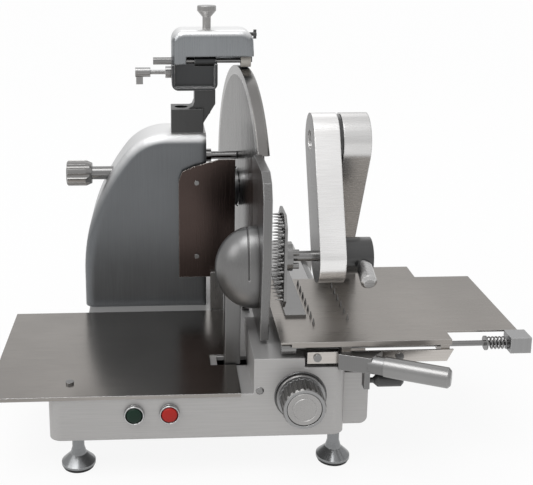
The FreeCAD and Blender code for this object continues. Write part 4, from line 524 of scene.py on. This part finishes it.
def lathe(name, profile, x, z, face_y):
    """A turned piece on an axis along Y, closed at its back: a profile that starts off the axis is a ring."""
    body = bmesh.new()
    points = [*profile, (profile[0][0], profile[-1][1])]
    ring = [body.verts.new((x + radius, face_y - height, z)) for radius, height in points]
    edges = [body.edges.new(pair) for pair in zip(ring, ring[1:])]
    if profile[0][0] > 0:
        edges.append(body.edges.new((ring[-1], ring[0])))
    bmesh.ops.spin(body, geom=ring + edges, cent=(x, face_y, z), axis=(0, 1, 0), dvec=(0, 0, 0),
                   angle=math.tau, steps=TURN_STEPS, use_merge=True)
    bmesh.ops.remove_doubles(body, verts=body.verts, dist=WELD)
    bmesh.ops.recalc_face_normals(body, faces=body.faces)
    return linked(name, body)


def face_left(piece, x, y, z):
    """Turns a piece made round the origin to face left, and puts it at a place."""
    turn = Matrix.Rotation(-math.pi / 2, 4, "Z")
    piece.data.transform(Matrix.Translation((x, y, z)) @ turn)


def add_piece(piece, body, material):
    """Gives a piece its finish and the body it rides on."""
    piece.data.materials.append(material)
    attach(piece, body)


def add_knob_trim(finishes):
    """The bare disc in the knob's face, a black ring of painted shade round its flange and the index pin
    beside it.
    """
    knob = middle("thickness_knob")
    face_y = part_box("thickness_knob")[0][1]
    disc = lathe("knob_disc", KNOB_DISC, knob.x, knob.z, face_y + KNOB_RECESS)
    add_piece(disc, "thickness_knob", finishes["disc_steel"])
    front_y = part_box("base_casing")[0][1]
    # painted shade: a black ring round the knob's flange
    seal = lathe("knob_seal", KNOB_SEAL, knob.x, knob.z, front_y)
    add_piece(seal, "root", finishes["moulded_black"])
    pin = lathe("index_pin", INDEX_PIN, knob.x - INDEX_LEFT, knob.z + INDEX_RISE, front_y)
    add_piece(pin, "root", finishes["turned_steel"])


def add_button_trim(finishes):
    """The domed cap of each push button and the raised ring of its bezel."""
    bezel_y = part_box("button_switches")[0][1]
    for name, slot in (("start_button", "green_button"), ("stop_button", "red_button")):
        button = middle(name)
        dome = lathe(f"{name}_dome", CAP_DOME, button.x, button.z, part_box(name)[0][1])
        add_piece(dome, name, finishes[FINISH_OF_SLOT[slot]])
        bezel = lathe(f"{name}_bezel", BEZEL_RING, button.x, button.z, bezel_y)
        add_piece(bezel, "root", finishes["chrome"])


def add_elbow_trim(finishes):
    """The dark cap over the elbow's pin, in the recess of the front link's left face."""
    cap = lathe("elbow_cap", ELBOW_DISC, 0.0, 0.0, 0.0)
    elbow = middle("elbow_washer")
    face_left(cap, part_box("front_link")[0][0] + ELBOW_RECESS, elbow.y, elbow.z)
    add_piece(cap, "front_link", finishes["moulded_black"])


# ---------------------------------------------------------------- sharpener's cover
COVER_ROUNDING = 0.0095
ROUNDING_STEPS = 6
ROUND_ARC = 0.5                 # the bevel profile that is a circle's arc
FLAT = 0.00001                  # a corner nearer than this to a plane lies in it
SAME_CORNER = 0.000001          # corners of the cover nearer than this become one
ONE_FACE = 0.3                  # degrees: triangles less tilted than this to each other are one face
UPRIGHT = 0.1                   # a wall's normal has less than this along Y
UNDERSIDE = -0.1                # a wall's normal is above this along Z, or it faces the open bottom
SHARP_EDGE = 30.0               # degrees
QUAD_CORNERS = 4


def outer_rim(cover):
    """The sharp edges round the front and back faces of the sharpener's cover, apart from its open bottom."""
    low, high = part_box("sharpener_cover")
    centre = middle("sharpener_cover")
    rim = []
    for edge in cover.edges:
        ends = [vertex.co for vertex in edge.verts]
        flat = any(all(abs(end.y - face) < FLAT for end in ends) for face in (low[1], high[1]))
        halfway = (ends[0] + ends[1]) / 2
        walls = [face.normal for face in edge.link_faces if abs(face.normal.y) < UPRIGHT]
        outward = any(normal.dot(halfway - centre) > 0 and normal.z > UNDERSIDE for normal in walls)
        if flat and outward and halfway.z > low[2] + COVER_ROUNDING:
            rim.append(edge)
    return rim


def soften_cover(finishes):
    """The sharpener's cover with its front and back rims rounded over, in place of the CAD cover."""
    cover = bmesh.new()
    cover.from_mesh(frame["nodes"]["sharpener_cover"].data)
    bmesh.ops.remove_doubles(cover, verts=cover.verts, dist=SAME_CORNER)
    bmesh.ops.dissolve_limit(cover, angle_limit=math.radians(ONE_FACE), verts=cover.verts, edges=cover.edges)
    bmesh.ops.bevel(cover, geom=outer_rim(cover), offset=COVER_ROUNDING, segments=ROUNDING_STEPS,
                    profile=ROUND_ARC, affect="EDGES", clamp_overlap=False)
    bmesh.ops.triangulate(cover, faces=[face for face in cover.faces if len(face.verts) > QUAD_CORNERS])
    shell = linked("sharpener_shell", cover)
    for face in shell.data.polygons:
        face.use_smooth = True
    shell.data.set_sharp_from_angle(angle=math.radians(SHARP_EDGE))
    shell.modifiers.new("even_normals", "WEIGHTED_NORMAL").keep_sharp = True
    add_piece(shell, "sharpener", finishes["sharpener_casting"])
    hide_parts("sharpener_cover")


add_camera()
add_studio()
finishes = make_finishes()
dress(finishes)
add_knob_trim(finishes)
add_button_trim(finishes)
add_elbow_trim(finishes)
soften_cover(finishes)
